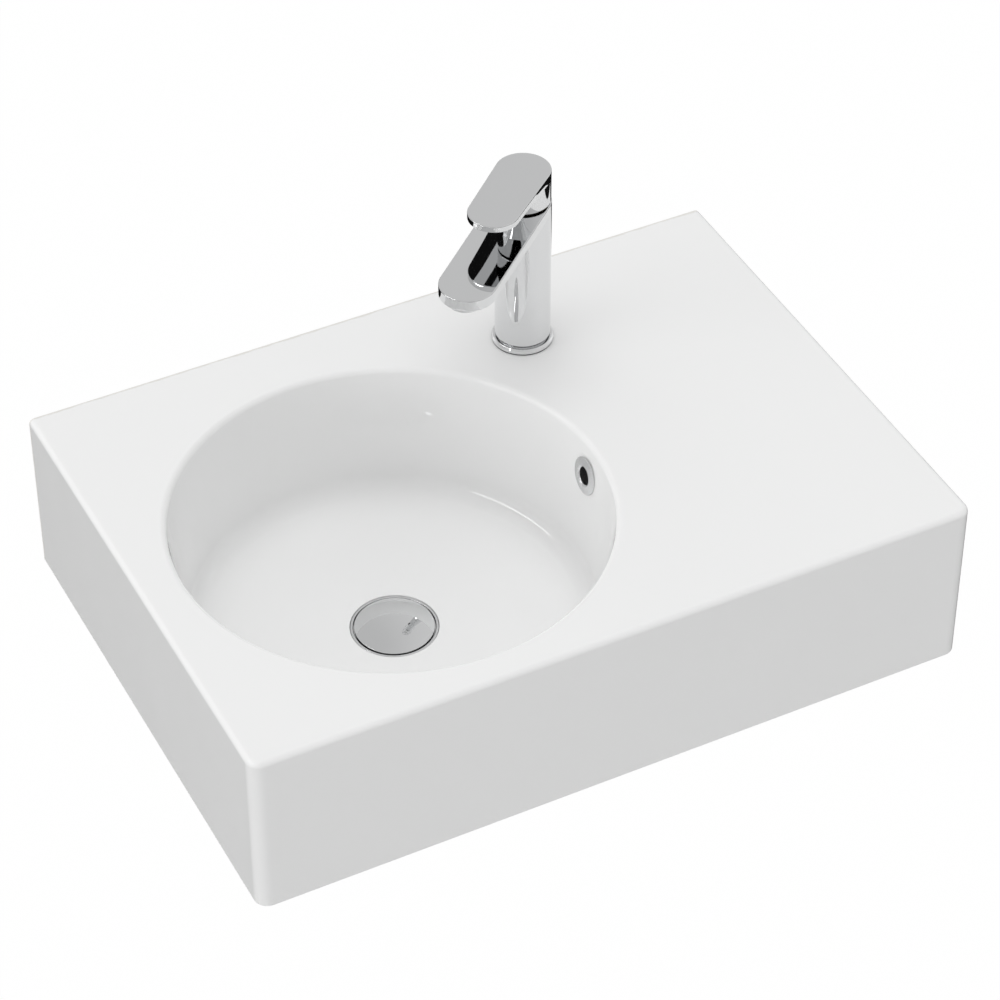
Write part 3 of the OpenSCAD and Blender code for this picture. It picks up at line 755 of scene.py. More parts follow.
def at(x: float, y: float, z: float, turn: float = 0.0, tilt: float = 0.0) -> Matrix:
    """Place of a local frame: moved, then turned about Z, then tilted about its own Y.

    Args:
        x: Place along the part's X, in millimetres.
        y: Place along Y.
        z: Place along Z.
        turn: Turn about Z, in degrees.
        tilt: Turn about the turned frame's Y, in degrees.

    Returns:
        The local frame's matrix.
    """
    return (Matrix.Translation((x, y, z)) @ Matrix.Rotation(math.radians(turn), 4, "Z")
            @ Matrix.Rotation(math.radians(tilt), 4, "Y"))


def cut(piece: bpy.types.Object, *tools: bpy.types.Object, join: bool = False) -> None:
    """Cuts tools from a piece one after another, or joins them to it, and removes the tools.

    Args:
        piece: The piece to change.
        tools: Closed meshes.
        join: Whether to join in place of cutting.
    """
    for tool in tools:
        step = piece.modifiers.new("cut", "BOOLEAN")
        step.operation = "UNION" if join else "DIFFERENCE"
        step.solver = "EXACT"
        step.object = tool
        graph = bpy.context.evaluated_depsgraph_get()
        data = bpy.data.meshes.new_from_object(piece.evaluated_get(graph))
        piece.modifiers.clear()
        old, piece.data = piece.data, data
        data.name = piece.name
        bpy.data.meshes.remove(old)
        spare = tool.data
        bpy.data.objects.remove(tool)
        bpy.data.meshes.remove(spare)


def dress(piece: bpy.types.Object, finish: Finish, body: Body, node: str) -> None:
    """Shades a new piece, gives it its finish and says what it stands for.

    Args:
        piece: The new piece.
        finish: Its finish.
        body: The body that it rides on.
        node: CAD node that it replaces.
    """
    data = piece.data
    data.polygons.foreach_set("use_smooth", np.ones(len(data.polygons), bool))
    data.set_sharp_from_angle(angle=SHARP_ANGLE)
    data.materials.clear()
    data.materials.append(finish.material())
    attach(piece, body.value)
    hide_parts(node)
    LOG.info("%s: %d vertices, for %s", piece.name, len(data.vertices), node)


def finish_node(finish: Finish, *names: str) -> None:
    """Gives CAD nodes that keep their shape a finish.

    Args:
        finish: The finish.
        names: Names of the CAD nodes.
    """
    for name in names:
        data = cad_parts[name].data
        data.materials.clear()
        data.materials.append(finish.material())
        LOG.info("%s: CAD shape in %s", name, finish.name)


# The basin


@dataclass
class Basin:
    """The cast basin: an oblong block, open below, with a round bowl hung in it."""

    width: float = 600.0
    depth: float = 425.0
    height: float = 148.0
    rim_r: float = 9.0
    corner_r: float = 11.0
    foot_r: float = 0.8
    margin: float = 1.2
    side_at: float = 200.0
    side_t: float = 14.0
    front_t: float = 18.0
    back_t: float = 16.0
    shelf_t: float = 12.0
    inner_r: float = 5.0
    seam_in: float = 40.0
    ceiling_r: float = 3.0
    bowl_r: float = 171.0
    lip_r: float = 5.0
    bowl_foot_r: float = 16.0
    bowl_depth: float = 118.0
    fall: float = 3.3
    shell_t: float = 11.0
    seat_r: float = 35.0
    seat_depth: float = 5.3
    seat_lip_r: float = 0.5
    seat_edge_r: float = 0.8
    waste_r: float = 23.0
    boss_r: float = 36.0
    boss_z: float = -142.3
    boss_h: float = 0.2
    duct_head: float = -17.0
    duct_top: float = -129.3
    duct_end_r: float = 21.0
    duct_gap: float = 8.0
    duct_t: float = 5.0
    duct_w: float = 34.0
    duct_margin: float = 5.0
    duct_blend: float = 8.0
    duct_mean: float = 0.9
    overflow_r: float = 11.5
    tap_hole_r: float = 17.5
    fixing_spacing: float = 280.0
    fixing_r: float = 7.5
    turns: int = 288

    def wall(self, grow: Any, z: float) -> Any:
        """Radius of the bowl's wall, grown outwards, at a height below the flat top."""
        lean = math.radians(BOWL_DRAFT)
        return self.bowl_r + grow / math.cos(lean) + z * math.tan(lean)

    def floor(self, grow: Any, radius: Any) -> Any:
        """Height of the bowl's floor, grown downwards, at a radius."""
        slope = math.radians(self.fall)
        return (radius - self.seat_r) * math.tan(slope) - self.bowl_depth - grow / math.cos(slope)

    def knee(self, grow: Any) -> tuple[Any, Any]:
        """Where the grown wall line meets the grown floor line.

        The wall is radius = w + z tan(draft) and the floor is z = f + radius tan(fall), so the
        radius is (w + f tan(draft)) over (1 - tan(draft) tan(fall)).

        Args:
            grow: Distance outside the bowl's inner surface.

        Returns:
            Radius and height.
        """
        lean, slope = math.tan(math.radians(BOWL_DRAFT)), math.tan(math.radians(self.fall))
        base = self.floor(grow, 0.0)
        radius = (self.wall(grow, 0.0) + base * lean) / (1 - lean * slope)
        return radius, base + radius * slope

    def section(self) -> Array:
        """Inner section of the bowl from the flat top down through the waste hole."""
        knee_r, knee_z = self.knee(0.0)
        seat_z = -self.bowl_depth - self.seat_depth
        return rounded([
            (self.bowl_r + 2 * self.lip_r, 0, 0),
            (self.bowl_r, 0, self.lip_r),
            (knee_r, knee_z, self.bowl_foot_r),
            (self.seat_r, self.floor(0.0, self.seat_r), self.seat_lip_r),
            (self.seat_r, seat_z, self.seat_edge_r),
            (self.waste_r, seat_z, self.seat_edge_r),
            (self.waste_r, -self.height, 0),
        ], steps=16)

    def rim(self) -> tuple[Array, Array]:
        """Front three sides of the block as centres of the corner radius and outward normals.

        Returns:
            Centres and normals, columns by 2.
        """
        side, front = self.width / 2 - self.corner_r, self.corner_r - self.depth
        along = np.array([0.0, -1.0, -self.side_at, front + HOLD])
        fore = [(x, front) for x in (HOLD - side, 0.0, side - HOLD)]
        turns = [np.linspace(start * math.pi, (start + 0.5) * math.pi, ARC_STEPS + 1)
                 for start in (1.0, 1.5)]
        corner = np.ones((ARC_STEPS + 1, 2))
        centres = np.concatenate([[(-side, y) for y in along], corner * (-side, front), fore,
                                  corner * (side, front), [(side, y) for y in along[::-1]]])
        angles = np.concatenate([np.full(4, math.pi), turns[0], np.full(3, 1.5 * math.pi),
                                 turns[1], np.full(4, 2 * math.pi)])
        return centres, around(angles)

    def block(self) -> bpy.types.Object:
        """Builds the solid block with the bowl and the waste hole in it.

        The sides are an inset and a height carried round three sides of the plan. The bowl is the
        inner section turned round its axis. Flat faces fill the top, the foot and the back.

        Returns:
            The closed block.
        """
        low, high = RIM_Z - self.height, RIM_Z
        profile = rounded([
            (self.rim_r + self.margin, high, 0), (0, high, self.rim_r), (0, low, self.foot_r),
            (self.foot_r + self.margin, low, 0)], steps=14)
        centres, normals = self.rim()
        flat = centres[None] + (self.corner_r - profile[:, None, :1]) * normals[None]
        sides = standing(flat, profile)
        section = self.section()
        flat = np.array([BOWL_X, BOWL_Y]) + section[:, None, :1] * circle(1.0, self.turns)[None]
        bowl = standing(flat, section + np.array([0.0, RIM_Z]))
        skin = Skin().grid(sides).grid(bowl, closed=True)
        for row, height in ((0, high), (-1, low)):
            skin.flat([sides[row, :, :2], bowl[row, :, :2]], lift(2, height))
        outline = np.concatenate([sides[:, 0, ::2], sides[::-1, -1, ::2]])
        return skin.flat([outline], lift(1, 0.0)).mesh("ceramic_basin")

    def hollow(self) -> bpy.types.Object:
        """Builds the space under the block, with the bowl's shell, its duct and its boss left out.

        Returns:
            The closed space.
        """
        half = self.width / 2 - self.side_t
        front, back = self.front_t - self.depth, -self.back_t
        r, seam = self.inner_r, (self.seam_in - half, front, 0)
        box = rounded([seam, (half, front, r), (half, back, r), (-half, back, r),
                       (-half, front, r), seam], steps=6)[:-1]
        centre = np.array([0.0, (front + back) / 2])
        ceiling = RIM_Z - self.shelf_t
        rows = rounded([(0, RIM_Z - self.height - PAST, 0), (0, ceiling, self.ceiling_r),
                        (1.5 * self.ceiling_r, ceiling, 0)], steps=6)
        scale = 1 - rows[:, None, :1] / np.array([half, (back - front) / 2])
        walls = standing(centre + (box - centre)[None] * scale, rows)
        skin = Skin().grid(walls, closed=True)
        for row in (walls[0], walls[-1]):
            skin.flat([row[:, :2]], lift(2, row[0, 2]))
        space = skin.mesh("hollow")
        cut(space, self.shell())
        return space

    def shell(self) -> bpy.types.Object:
        """Builds the bowl's outer body, thicker over the overflow duct, with the waste boss.

        The section is grown outwards by the shell's thickness, and over the duct by the duct's
        depth and wall as well, blended over a few millimetres to each side of the duct.

        Returns:
            The closed body.
        """
        angle = np.linspace(-math.pi, math.pi, self.turns, endpoint=False)
        side = np.abs(np.sin(angle)) * self.bowl_r * self.duct_mean
        beside = self.duct_w / 2 + self.duct_t + self.duct_margin
        near = np.clip((beside - side) / self.duct_blend, 0, 1) * (np.cos(angle) > 0)
        near = near * near * (3 - 2 * near)
        grow = self.shell_t + near * (self.duct_gap + self.duct_t)
        knee_r, knee_z = self.knee(grow)
        section = rounded([
            (AXIS_R, self.boss_z, 0),
            (self.boss_r, self.boss_z, 2.0),
            (self.boss_r, np.maximum(self.floor(grow, self.boss_r), self.boss_z + self.boss_h), 3.0),
            (knee_r, knee_z, self.bowl_foot_r + self.shell_t),
            (self.wall(grow, -self.shelf_t / 2), -self.shelf_t / 2, 0),
            (AXIS_R, -self.shelf_t / 2, 0),
        ], steps=12)
        rows = np.concatenate([section[..., :1] * around(angle)[None], section[..., 1:]], -1)
        return Skin().grid(rows, closed=True).mesh("shell", at(BOWL_X, BOWL_Y, RIM_Z))

    def duct(self) -> bpy.types.Object:
        """Builds the space of the overflow duct, which follows the bowl from wall to waste hole.

        A point at side offset y on a turned surface of radius r lies at x = sqrt(r r - y y).

        Returns:
            The closed space.
        """
        side = np.linspace(-self.duct_w / 2, self.duct_w / 2, 9)
        thick_r = self.seat_r + self.shell_t
        faces = []
        for grow in (self.shell_t, self.shell_t + self.duct_gap):
            knee_r, knee_z = self.knee(grow)
            low = min(self.floor(grow, thick_r), self.duct_top)
            line = rounded([(self.wall(grow, self.duct_head), self.duct_head, 0),
                            (knee_r, knee_z, self.bowl_foot_r + grow),
                            (thick_r, self.floor(grow, thick_r), 0), (thick_r, low, 0),
                            (self.duct_end_r, low, 0)], steps=10)
            x = np.sqrt(line[:, :1] ** 2 - side[None] ** 2)
            y = np.repeat(side[None], len(line), 0)
            faces.append(np.stack([x, y, np.repeat(line[:, 1:], len(side), 1)], -1))
        ring = np.concatenate([faces[0], faces[1][:, ::-1]], 1)
        skin = Skin().grid(ring, closed=True)
        for end in (0, -1):
            skin.grid(np.stack([faces[0][end], faces[1][end]]))
        return skin.mesh("duct", at(BOWL_X, BOWL_Y, RIM_Z))

    def hole(self, radius: float, low: float, high: float, place: Matrix) -> bpy.types.Object:
        """Builds a round cutter between two heights of a local Z axis."""
        return peg("hole", [(radius, low), (radius, high)], place, 64)

    def build(self) -> None:
        """Builds the basin and dresses it."""
        basin = self.block()
        overflow = at(BOWL_X + self.wall(0.0, -OVERFLOW_DROP), BOWL_Y, RIM_Z - OVERFLOW_DROP, 0.0,
                      BOWL_DRAFT - 90)
        holes = [self.hole(self.tap_hole_r, -self.shelf_t - PAST, PAST, at(TAP_X, TAP_Y, RIM_Z)),
                 self.hole(self.overflow_r, -self.shell_t - self.duct_gap / 2, 3 * PAST, overflow)]
        for side in (-1, 1):
            inward = at(side * self.fixing_spacing / 2, 0, 0) @ Matrix.Rotation(math.pi / 2, 4, "X")
            holes.append(self.hole(self.fixing_r, -PAST, self.back_t + PAST, inward))
        chamber = self.hole(self.waste_r + self.duct_gap, self.duct_top - self.duct_gap,
                            self.duct_top, at(BOWL_X, BOWL_Y, RIM_Z))
        cut(basin, self.hollow(), *holes, self.duct(), chamber)
        dress(basin, GLAZE, Body.BASIN, "basin_body")


# Shared form of the spout and of the lever


@dataclass
class Paddle:
    """A flat bar with round ends that grows out of an upright round column at its back end.

    Rows of points at the distances hold_in and hold_below from the edge's rounding keep the flat
    faces flat, and one row goes round the bar's side at the share waist of its height.
    """

    name: str
    back_r: float
    tip_r: float
    length: float
    edge_r: float
    top: Callable[[Array], Array]
    under: Callable[[Array], Array]
    column: Array
    arc: int = 48
    rounding_steps: int = 6
    fade_steps: int = 5
    hold_in: tuple[float, float] = (0.5, 0.15)
    hold_below: float = 0.3
    waist: float = 0.4

    def outline(self) -> tuple[Array, Array, Array, int]:
        """Plan of the bar: two round ends joined by their common tangents.

        The tangents' normals make an angle with the cross direction whose sine is the
        difference of the radii over the length.

        Returns:
            Centres, outward normals and radii by column, and the number of front columns.
        """
        lean = math.asin((self.back_r - self.tip_r) / self.length)
        turn = math.pi / 2 - lean
        tip = np.linspace(-turn, turn, self.arc + 1)
        back = np.linspace(turn, 2 * math.pi - turn, self.arc + 1)
        along = np.linspace(0, 1, 10)[1:-1]
        centres = np.concatenate([
            np.full(len(tip), self.length), self.length * (1 - along), np.zeros(len(back)),
            self.length * along])
        angles = np.concatenate([tip, np.full(len(along), turn), back,
                                 np.full(len(along), 2 * math.pi - turn)])
        share = centres / self.length
        radii = self.back_r + (self.tip_r - self.back_r) * share
        start = len(tip) + len(along)
        order = np.roll(np.arange(len(angles)), -start)
        centres, angles, radii = centres[order], angles[order], radii[order]
        return np.column_stack([centres, np.zeros(len(centres))]), around(angles), radii, len(back)

    def build(self, place: Matrix) -> bpy.types.Object:
        """Builds the bar and its column as one closed solid.

        The edge of the bar is a rounding of the given radius carried round the plan. Under the
        bar's free part the lower edge is rounded too, by a radius that fades out where the
        bar meets the column. The column carries its own profile round its axis.

        Args:
            place: The local frame.

        Returns:
            The solid.
        """
        centres, normals, radii, back = self.outline()
        rounding = np.linspace(0, math.pi / 2, self.rounding_steps + 1)
        inset = np.concatenate([self.edge_r + np.array(self.hold_in),
                                self.edge_r * (1 - np.sin(rounding)), [0.0]])
        drop = np.concatenate([[0, 0], self.edge_r * (1 - np.cos(rounding)),
                               [self.edge_r + self.hold_below]])
        flat = centres[None] + (radii[None, :, None] - inset[:, None, None]) * normals[None]
        upper = np.concatenate([flat, (self.top(flat[..., 0]) - drop[:, None])[..., None]], -1)
        skin = Skin().grid(upper, closed=True)
        skin.flat([upper[0, :, :2]], lambda p: np.column_stack([p, self.top(p[:, 0])]))
        # Lower edge of the free part, from the column's one side round the tip to the other
        free = np.concatenate([np.arange(back - 1, len(radii)), [0]])
        away = np.minimum(np.linspace(0, 1, len(free)), np.linspace(1, 0, len(free))) * len(free)
        low_r = self.edge_r * np.clip(away / self.fade_steps, 0, 1)
        outer = centres + radii[:, None] * normals
        fade = np.zeros(len(radii))
        fade[free] = low_r
        bottom = np.column_stack([outer, self.under(outer[:, 0]) + fade])
        lowest = upper[-1]
        between = (1 - self.waist) * lowest + self.waist * bottom
        skin.grid(np.stack([lowest, between, bottom]), closed=True)
        turn = rounding[:, None]
        shrink = low_r[None] * (1 - np.cos(turn))
        edge = centres[free][None] + (radii[free][None] - shrink)[..., None] * normals[free][None]
        rise = self.under(edge[..., 0]) + low_r[None] * (1 - np.sin(turn))
        lower = np.concatenate([edge, rise[..., None]], -1)
        skin.grid(lower)
        front = np.linspace(math.atan2(*normals[0][::-1]), math.atan2(*normals[back - 1][::-1]),
                            self.arc + 1)[1:-1]
        bow = self.back_r * around(front)
        skin.flat([np.concatenate([lower[-1, :, :2], bow])],
                  lambda p: np.column_stack([p, self.under(p[:, 0])]))
        ring = np.concatenate([normals[:back], around(front)[::-1]])
        first = np.column_stack([self.back_r * ring, self.under(self.back_r * ring[:, 0])])
        rest = standing(self.column[:, None, :1] * ring[None], self.column)
        skin.grid(np.concatenate([first[None], rest]), closed=True)
        return skin.mesh(self.name, place)


# The mixer tap


@dataclass
class Tap:
    """The single-lever mixer: its body, its base ring, its aerator and its lever."""

    turn: float = 221.0
    column_r: float = 22.4
    top: float = 136.4
    spout_t: float = 10.0
    spout_len: float = 113.0
    neck_r: float = 20.3
    neck_h: float = 7.0
    gasket_t: float = 1.0
    base_r: float = 25.0
    base_h: float = 5.0
    base_gap: float = 0.3
    bevel_w: float = 1.3
    bevel_h: float = 1.8
    hollow_r: float = 16.0
    hollow_top: float = 30.0
    inlet_r: float = 4.5
    inlet_side: float = 7.5
    inlet_forward: float = 3.0
    inlet_depth: float = 14.0
    stud_r: float = 4.05
    stud_back: float = 9.0
    stud_depth: float = 14.0
    water_r: float = 3.0
    way_start: float = 15.5
    way_half: float = 8.0
    way_low: float = 3.0
    way_high: float = 7.0
    pocket_r: float = 17.56
    pocket_low: float = 120.04
    nut_r: float = 19.05
    nut_low: float = 132.5
    aerator_at: float = 118.0
    aerator_r: float = 13.0
    aerator_drop: float = 5.4
    aerator_bore: float = 9.6
    thread_r: float = 11.5
    thread_h: float = 5.2
    thread_gap: float = 0.05
    pocket_h: float = 6.0
    hub_r: float = 21.9
    hub_low: float = 138.0
    lever_top: float = 166.1
    lever_len: float = 61.0
    lever_tip_r: float = 20.2
    lever_t_hub: float = 7.5
    lever_t_tip: float = 5.6
    lever_slope: float = 1.3
    hub_hollow_r: float = 18.0
    hub_roof: float = 157.6
    boss_r: float = 8.0
    boss_low: float = 151.5
    relief_start: float = 4.5
    relief_angle: float = 21.0
    socket_half: float = 4.05
    socket_low: float = 148.5
    socket_high: float = 157.15
    screw_r: float = 2.55
    screw_z: float = 154.55
    screw_start: float = 4.0
    screw_head_r: float = 3.5
    screw_head_in: float = 2.2
    edge_r: float = 0.8

    def place(self, forward: float = 0.0, side: float = 0.0, up: float = 0.0) -> Matrix:
        """Local frame on the shelf with +X along the spout, moved by a local offset."""
        return at(TAP_X, TAP_Y, RIM_Z, self.turn) @ Matrix.Translation((forward, side, up))

    def slot(self, outline: Sequence[tuple[float, float]], half: float) -> bpy.types.Object:
        """Builds a cutter from an outline in the local X and Z, carried across Y."""
        return prism("slot", np.array(outline), 1, half, self.place())

    def build_body(self) -> None:
        """Builds the column with its spout, cuts its hollows and dresses it."""
        under = self.top - self.spout_t
        column = rounded([
            (self.column_r, under - 1, 0), (self.column_r, self.neck_h, 0.6),
            (self.neck_r, self.neck_h, 0.3), (self.neck_r, self.gasket_t, 0.2),
            (AXIS_R, self.gasket_t, 0)], steps=5)
        body = Paddle(
            "tap_column_and_spout", self.column_r, self.column_r, self.spout_len, self.edge_r,
            lambda x: np.full(np.shape(x), self.top), lambda x: np.full(np.shape(x), under), column,
        ).build(self.place())
        mouth, thread = self.hollow_top - 1, self.thread_r + self.thread_gap
        inlet_top = self.hollow_top + self.inlet_depth
        tools = [
            peg("pocket", [(self.pocket_r, self.pocket_low), (self.pocket_r, self.nut_low),
                           (self.nut_r, self.nut_low), (self.nut_r, self.top + 3)],
                self.place(), 96),
            peg("hollow", [(self.hollow_r, -PAST), (self.hollow_r, self.hollow_top)], self.place()),
            peg("stud_hole", [(self.stud_r, mouth), (self.stud_r, self.hollow_top + self.stud_depth)],
                self.place(-self.stud_back)),
            peg("thread", [(thread, under - PAST), (thread, under + self.pocket_h)],
                self.place(self.aerator_at)),
        ]
        for side in (-1, 1):
            tools.append(peg("inlet", [
                (self.inlet_r, mouth), (self.inlet_r, inlet_top),
                (self.water_r, inlet_top), (self.water_r, self.pocket_low + 1),
            ], self.place(self.inlet_forward, side * self.inlet_side)))
        low, high = under + self.way_low, under + self.way_high
        tools.append(self.slot([(self.way_start, low), (self.aerator_at, low),
                                (self.aerator_at, high), (self.way_start, high)], self.way_half))
        cut(body, *tools)
        dress(body, CHROME, Body.BASIN, "tap_body")

    def build_base(self) -> None:
        """Builds the ring at the column's foot and dresses it."""
        inner = self.neck_r + self.base_gap
        middle = (inner + self.base_r) / 2
        ring = lathed("tap_base_ring", [
            (middle, self.gasket_t, 0), (self.base_r, self.gasket_t, 0.4),
            (self.base_r, self.base_h - self.bevel_h, 0.5),
            (self.base_r - self.bevel_w, self.base_h, 0.6),
            (inner, self.base_h, 0.4), (inner, self.gasket_t, 0.3),
        ], self.place(), segments=128, steps=6)
        dress(ring, CHROME, Body.BASIN, "base_ring")

    def build_aerator(self) -> None:
        """Builds the aerator's housing under the spout and dresses it."""
        under = self.top - self.spout_t
        low, high = under - self.aerator_drop, under + self.thread_h
        ring = lathed("aerator_collar", [
            (self.aerator_bore + 1, low, 0), (self.aerator_r, low, 0.8),
            (self.aerator_r, under, 0.1), (self.thread_r, under, 0.1),
            (self.thread_r, high, 0.2), (self.aerator_bore, high, 0.2), (self.aerator_bore, low, 0.4),
        ], self.place(self.aerator_at))
        dress(ring, CHROME, Body.BASIN, "aerator_housing")

    def build_lever(self) -> None:
        """Builds the lever with its hollow hub, cuts its socket and relief, and dresses it."""
        rise = math.tan(math.radians(self.lever_slope))
        tip = self.lever_len + self.lever_tip_r
        gain = rise + (self.lever_t_hub - self.lever_t_tip) / tip
        column = rounded([
            (self.hub_r, self.hub_roof - 1, 0), (self.hub_r, self.hub_low, 0.5),
            (AXIS_R, self.hub_low, 0)], steps=5)
        lever = Paddle(
            "mixer_lever_handle", self.hub_r, self.lever_tip_r, self.lever_len, self.edge_r,
            lambda x: self.lever_top + x * rise,
            lambda x: self.lever_top - self.lever_t_hub + x * gain, column,
        ).build(self.place())
        far, below = 2 * self.hub_r, self.hub_low - 1
        climb = (far - self.relief_start) * math.tan(math.radians(self.relief_angle))
        relief = self.slot([(-self.relief_start, below), (-self.relief_start, self.hub_low),
                            (-far, self.hub_low + climb), (-far, below)], self.hub_r + 1)
        hollow = peg("hollow", [
            (self.hub_hollow_r, below), (self.hub_hollow_r, self.hub_roof),
            (self.boss_r, self.hub_roof), (self.boss_r, self.boss_low)], self.place(), 96)
        half = self.socket_half
        socket = self.slot([(-half, self.socket_low), (half, self.socket_low),
                            (half, self.socket_high), (-half, self.socket_high)], half)
        back = self.place(0, 0, self.screw_z) @ Matrix.Rotation(-math.pi / 2, 4, "Y")
        seat = self.hub_r - self.screw_head_in
        screw = peg("screw", [(self.screw_r, self.screw_start), (self.screw_r, seat),
                              (self.screw_head_r, seat), (self.screw_head_r, self.hub_r + PAST)], back)
        cut(lever, hollow, relief, socket, screw)
        dress(lever, CHROME, Body.LEVER, "lever")

    def build(self) -> None:
        """Builds the tap's pieces in order and gives its inner CAD nodes their finishes."""
        self.build_body()
        self.build_base()
        self.build_aerator()
        self.build_lever()
        finish_node(CHROME, "screw_cap")
        finish_node(BRASS, "cartridge_nut", "lever_spindle", "stud_nut")
        finish_node(ZINC, "fixing_stud", "horseshoe_washer", "pivot_pin", "lever_screw")
        finish_node(RUBBER, "base_gasket", "horseshoe_gasket", "cartridge_seals", "aerator_seal")
        finish_node(WHITE_PLASTIC, "aerator_insert", "cartridge_base", "disc_carrier", "lever_rotor")
        finish_node(DARK_PLASTIC, "cartridge_housing")
        finish_node(ALUMINA, "fixed_disc", "moving_disc")


# The waste and the overflow


@dataclass
class Waste:
    """The push waste: its flanged tube under the bowl and its plug."""

    flange_top: float = -118.3
    flange_r: float = 34.7
    flange_t: float = 4.0
    dish_r: float = 32.6
    dish_depth: float = 2.0
    tube_r: float = 20.955
    bore_r: float = 17.855
    low: float = -200.3
    throat_drop: float = 5.0
    throat_flare: float = 4.2
    slot_z: float = -133.3
    slot_h: float = 6.0
    slot_reach: float = 40.0
    groove_z: float = -163.3
    groove_h: float = 1.5
    groove_deep: float = 0.6
    bridge_z: float = -169.3
    bridge_t: float = 4.0
    hub_r: float = 7.5
    hub_bore_r: float = 4.05
    arm_half: float = 2.0
    cap_r: float = 31.5
    cap_low: float = -118.9
    cap_edge: float = 1.2
    cap_dome: float = 7.0
    cap_rim: float = 0.9
    cap_wall: float = 2.0
    stalk_r: float = 6.0
    stalk_bore_r: float = 3.05
    stalk_len: float = 7.0

    def place(self) -> Matrix:
        """Local frame on the bowl's axis, level with the flat top."""
        return at(BOWL_X, BOWL_Y, RIM_Z)

    def build_cap(self) -> None:
        """Builds the domed cap of the plug and dresses it.

        The dome is a circle's arc whose height falls from its middle with the radius: z equals
        the sphere's height less what keeps its rim on the cap's edge.
        """
        edge = self.cap_low + self.cap_edge
        ball = (self.cap_r ** 2 + self.cap_dome ** 2) / (2 * self.cap_dome)
        radius = np.linspace(AXIS_R, self.cap_r - self.cap_rim, 20)
        dome = edge + self.cap_dome - ball + np.sqrt(ball ** 2 - radius ** 2)
        rim = rounded([(radius[-1], dome[-1], 0), (self.cap_r, edge, 0.7),
                       (self.cap_r, self.cap_low, 0.4),
                       (self.cap_r - self.cap_wall, self.cap_low, 0)],
                      6, FINE_HOLD)
        end = self.cap_low - self.stalk_len
        under = np.array([(self.stalk_r, self.cap_low), (self.stalk_r, end), (self.stalk_bore_r, end),
                          (self.stalk_bore_r, self.cap_low), (AXIS_R, self.cap_low)])
        line = np.concatenate([np.column_stack([radius, dome])[:-1], rim, under])
        cap = Skin().lathe(line, 160).mesh("plug_dome", self.place())
        dress(cap, CHROME, Body.PLUG, "plug_cap")

    def build_tube(self) -> None:
        """Builds the flanged tube with its overflow slots and dresses it."""
        dish_z, under = self.flange_top - self.dish_depth, self.flange_top - self.flange_t
        mouth_r = self.bore_r + 8
        groove_top, groove_r = self.groove_z + self.groove_h, self.tube_r - self.groove_deep
        tube = lathed("waste_tube", [
            (mouth_r, dish_z, 0), (self.dish_r, dish_z, 0.6),
            (self.dish_r, self.flange_top, 0.6), (self.flange_r, self.flange_top, 1.2),
            (self.flange_r, under, 0.4), (self.tube_r, under, 0.3), (self.tube_r, groove_top, 0.2),
            (groove_r, groove_top, 0), (groove_r, self.groove_z, 0),
            (self.tube_r, self.groove_z, 0.2), (self.tube_r, self.low, 0.4),
            (self.bore_r, self.low, 0.4), (self.bore_r, dish_z - self.throat_drop, 1.0),
            (self.bore_r + self.throat_flare, dish_z, 0.6),
        ], self.place())
        low, high = self.slot_z - self.slot_h / 2, self.slot_z + self.slot_h / 2
        half = self.bore_r / 2
        slot = rounded([(0, low, 0), (half, low, 1.5), (half, high, 1.5), (-half, high, 1.5),
                        (-half, low, 1.5), (0, low, 0)], steps=5)[:-1]
        cut(tube, prism("slots", slot, 0, self.slot_reach, self.place()))
        cut(tube, self.bridge(), join=True)
        dress(tube, CHROME, Body.BASIN, "waste_body")

    def bridge(self) -> bpy.types.Object:
        """Builds the three-armed bridge that holds the plug's sleeve in the tube.

        Returns:
            The closed bridge.
        """
        ring = circle(self.hub_r, 72)
        third = 2 * math.pi / 3
        angle = np.arctan2(ring[:, 1], ring[:, 0])
        nearest = (angle + third / 2) % third - third / 2
        arm = np.abs(nearest) < math.asin(self.arm_half / self.hub_r)
        reach = np.where(arm, (self.bore_r + 0.6) / np.cos(nearest), self.hub_r)
        lean = np.arcsin(np.clip(np.sin(nearest) * self.hub_r / reach, -1, 1))
        turned = angle - nearest + np.where(arm, lean, nearest)
        outer = reach[:, None] * around(turned)
        inner = circle(self.hub_bore_r, 48)
        lifts = lift(2, self.bridge_z), lift(2, self.bridge_z + self.bridge_t)
        skin = Skin()
        for raised in lifts:
            skin.flat([outer, inner], raised)
        for loop in (outer, inner):
            skin.grid(np.stack([raised(loop) for raised in lifts]), closed=True)
        return skin.mesh("bridge", self.place())

    def build(self) -> None:
        """Builds the waste's pieces in order and gives its CAD nodes their finishes."""
        self.build_tube()
        self.build_cap()
        finish_node(RUBBER, "waste_top_gasket", "waste_lower_gasket", "plug_seal")
        finish_node(WHITE_PLASTIC, "waste_slip_washer")
        finish_node(BRASS, "waste_back_nut", "plug_stem", "click_sleeve")
        finish_node(ZINC, "click_spring")


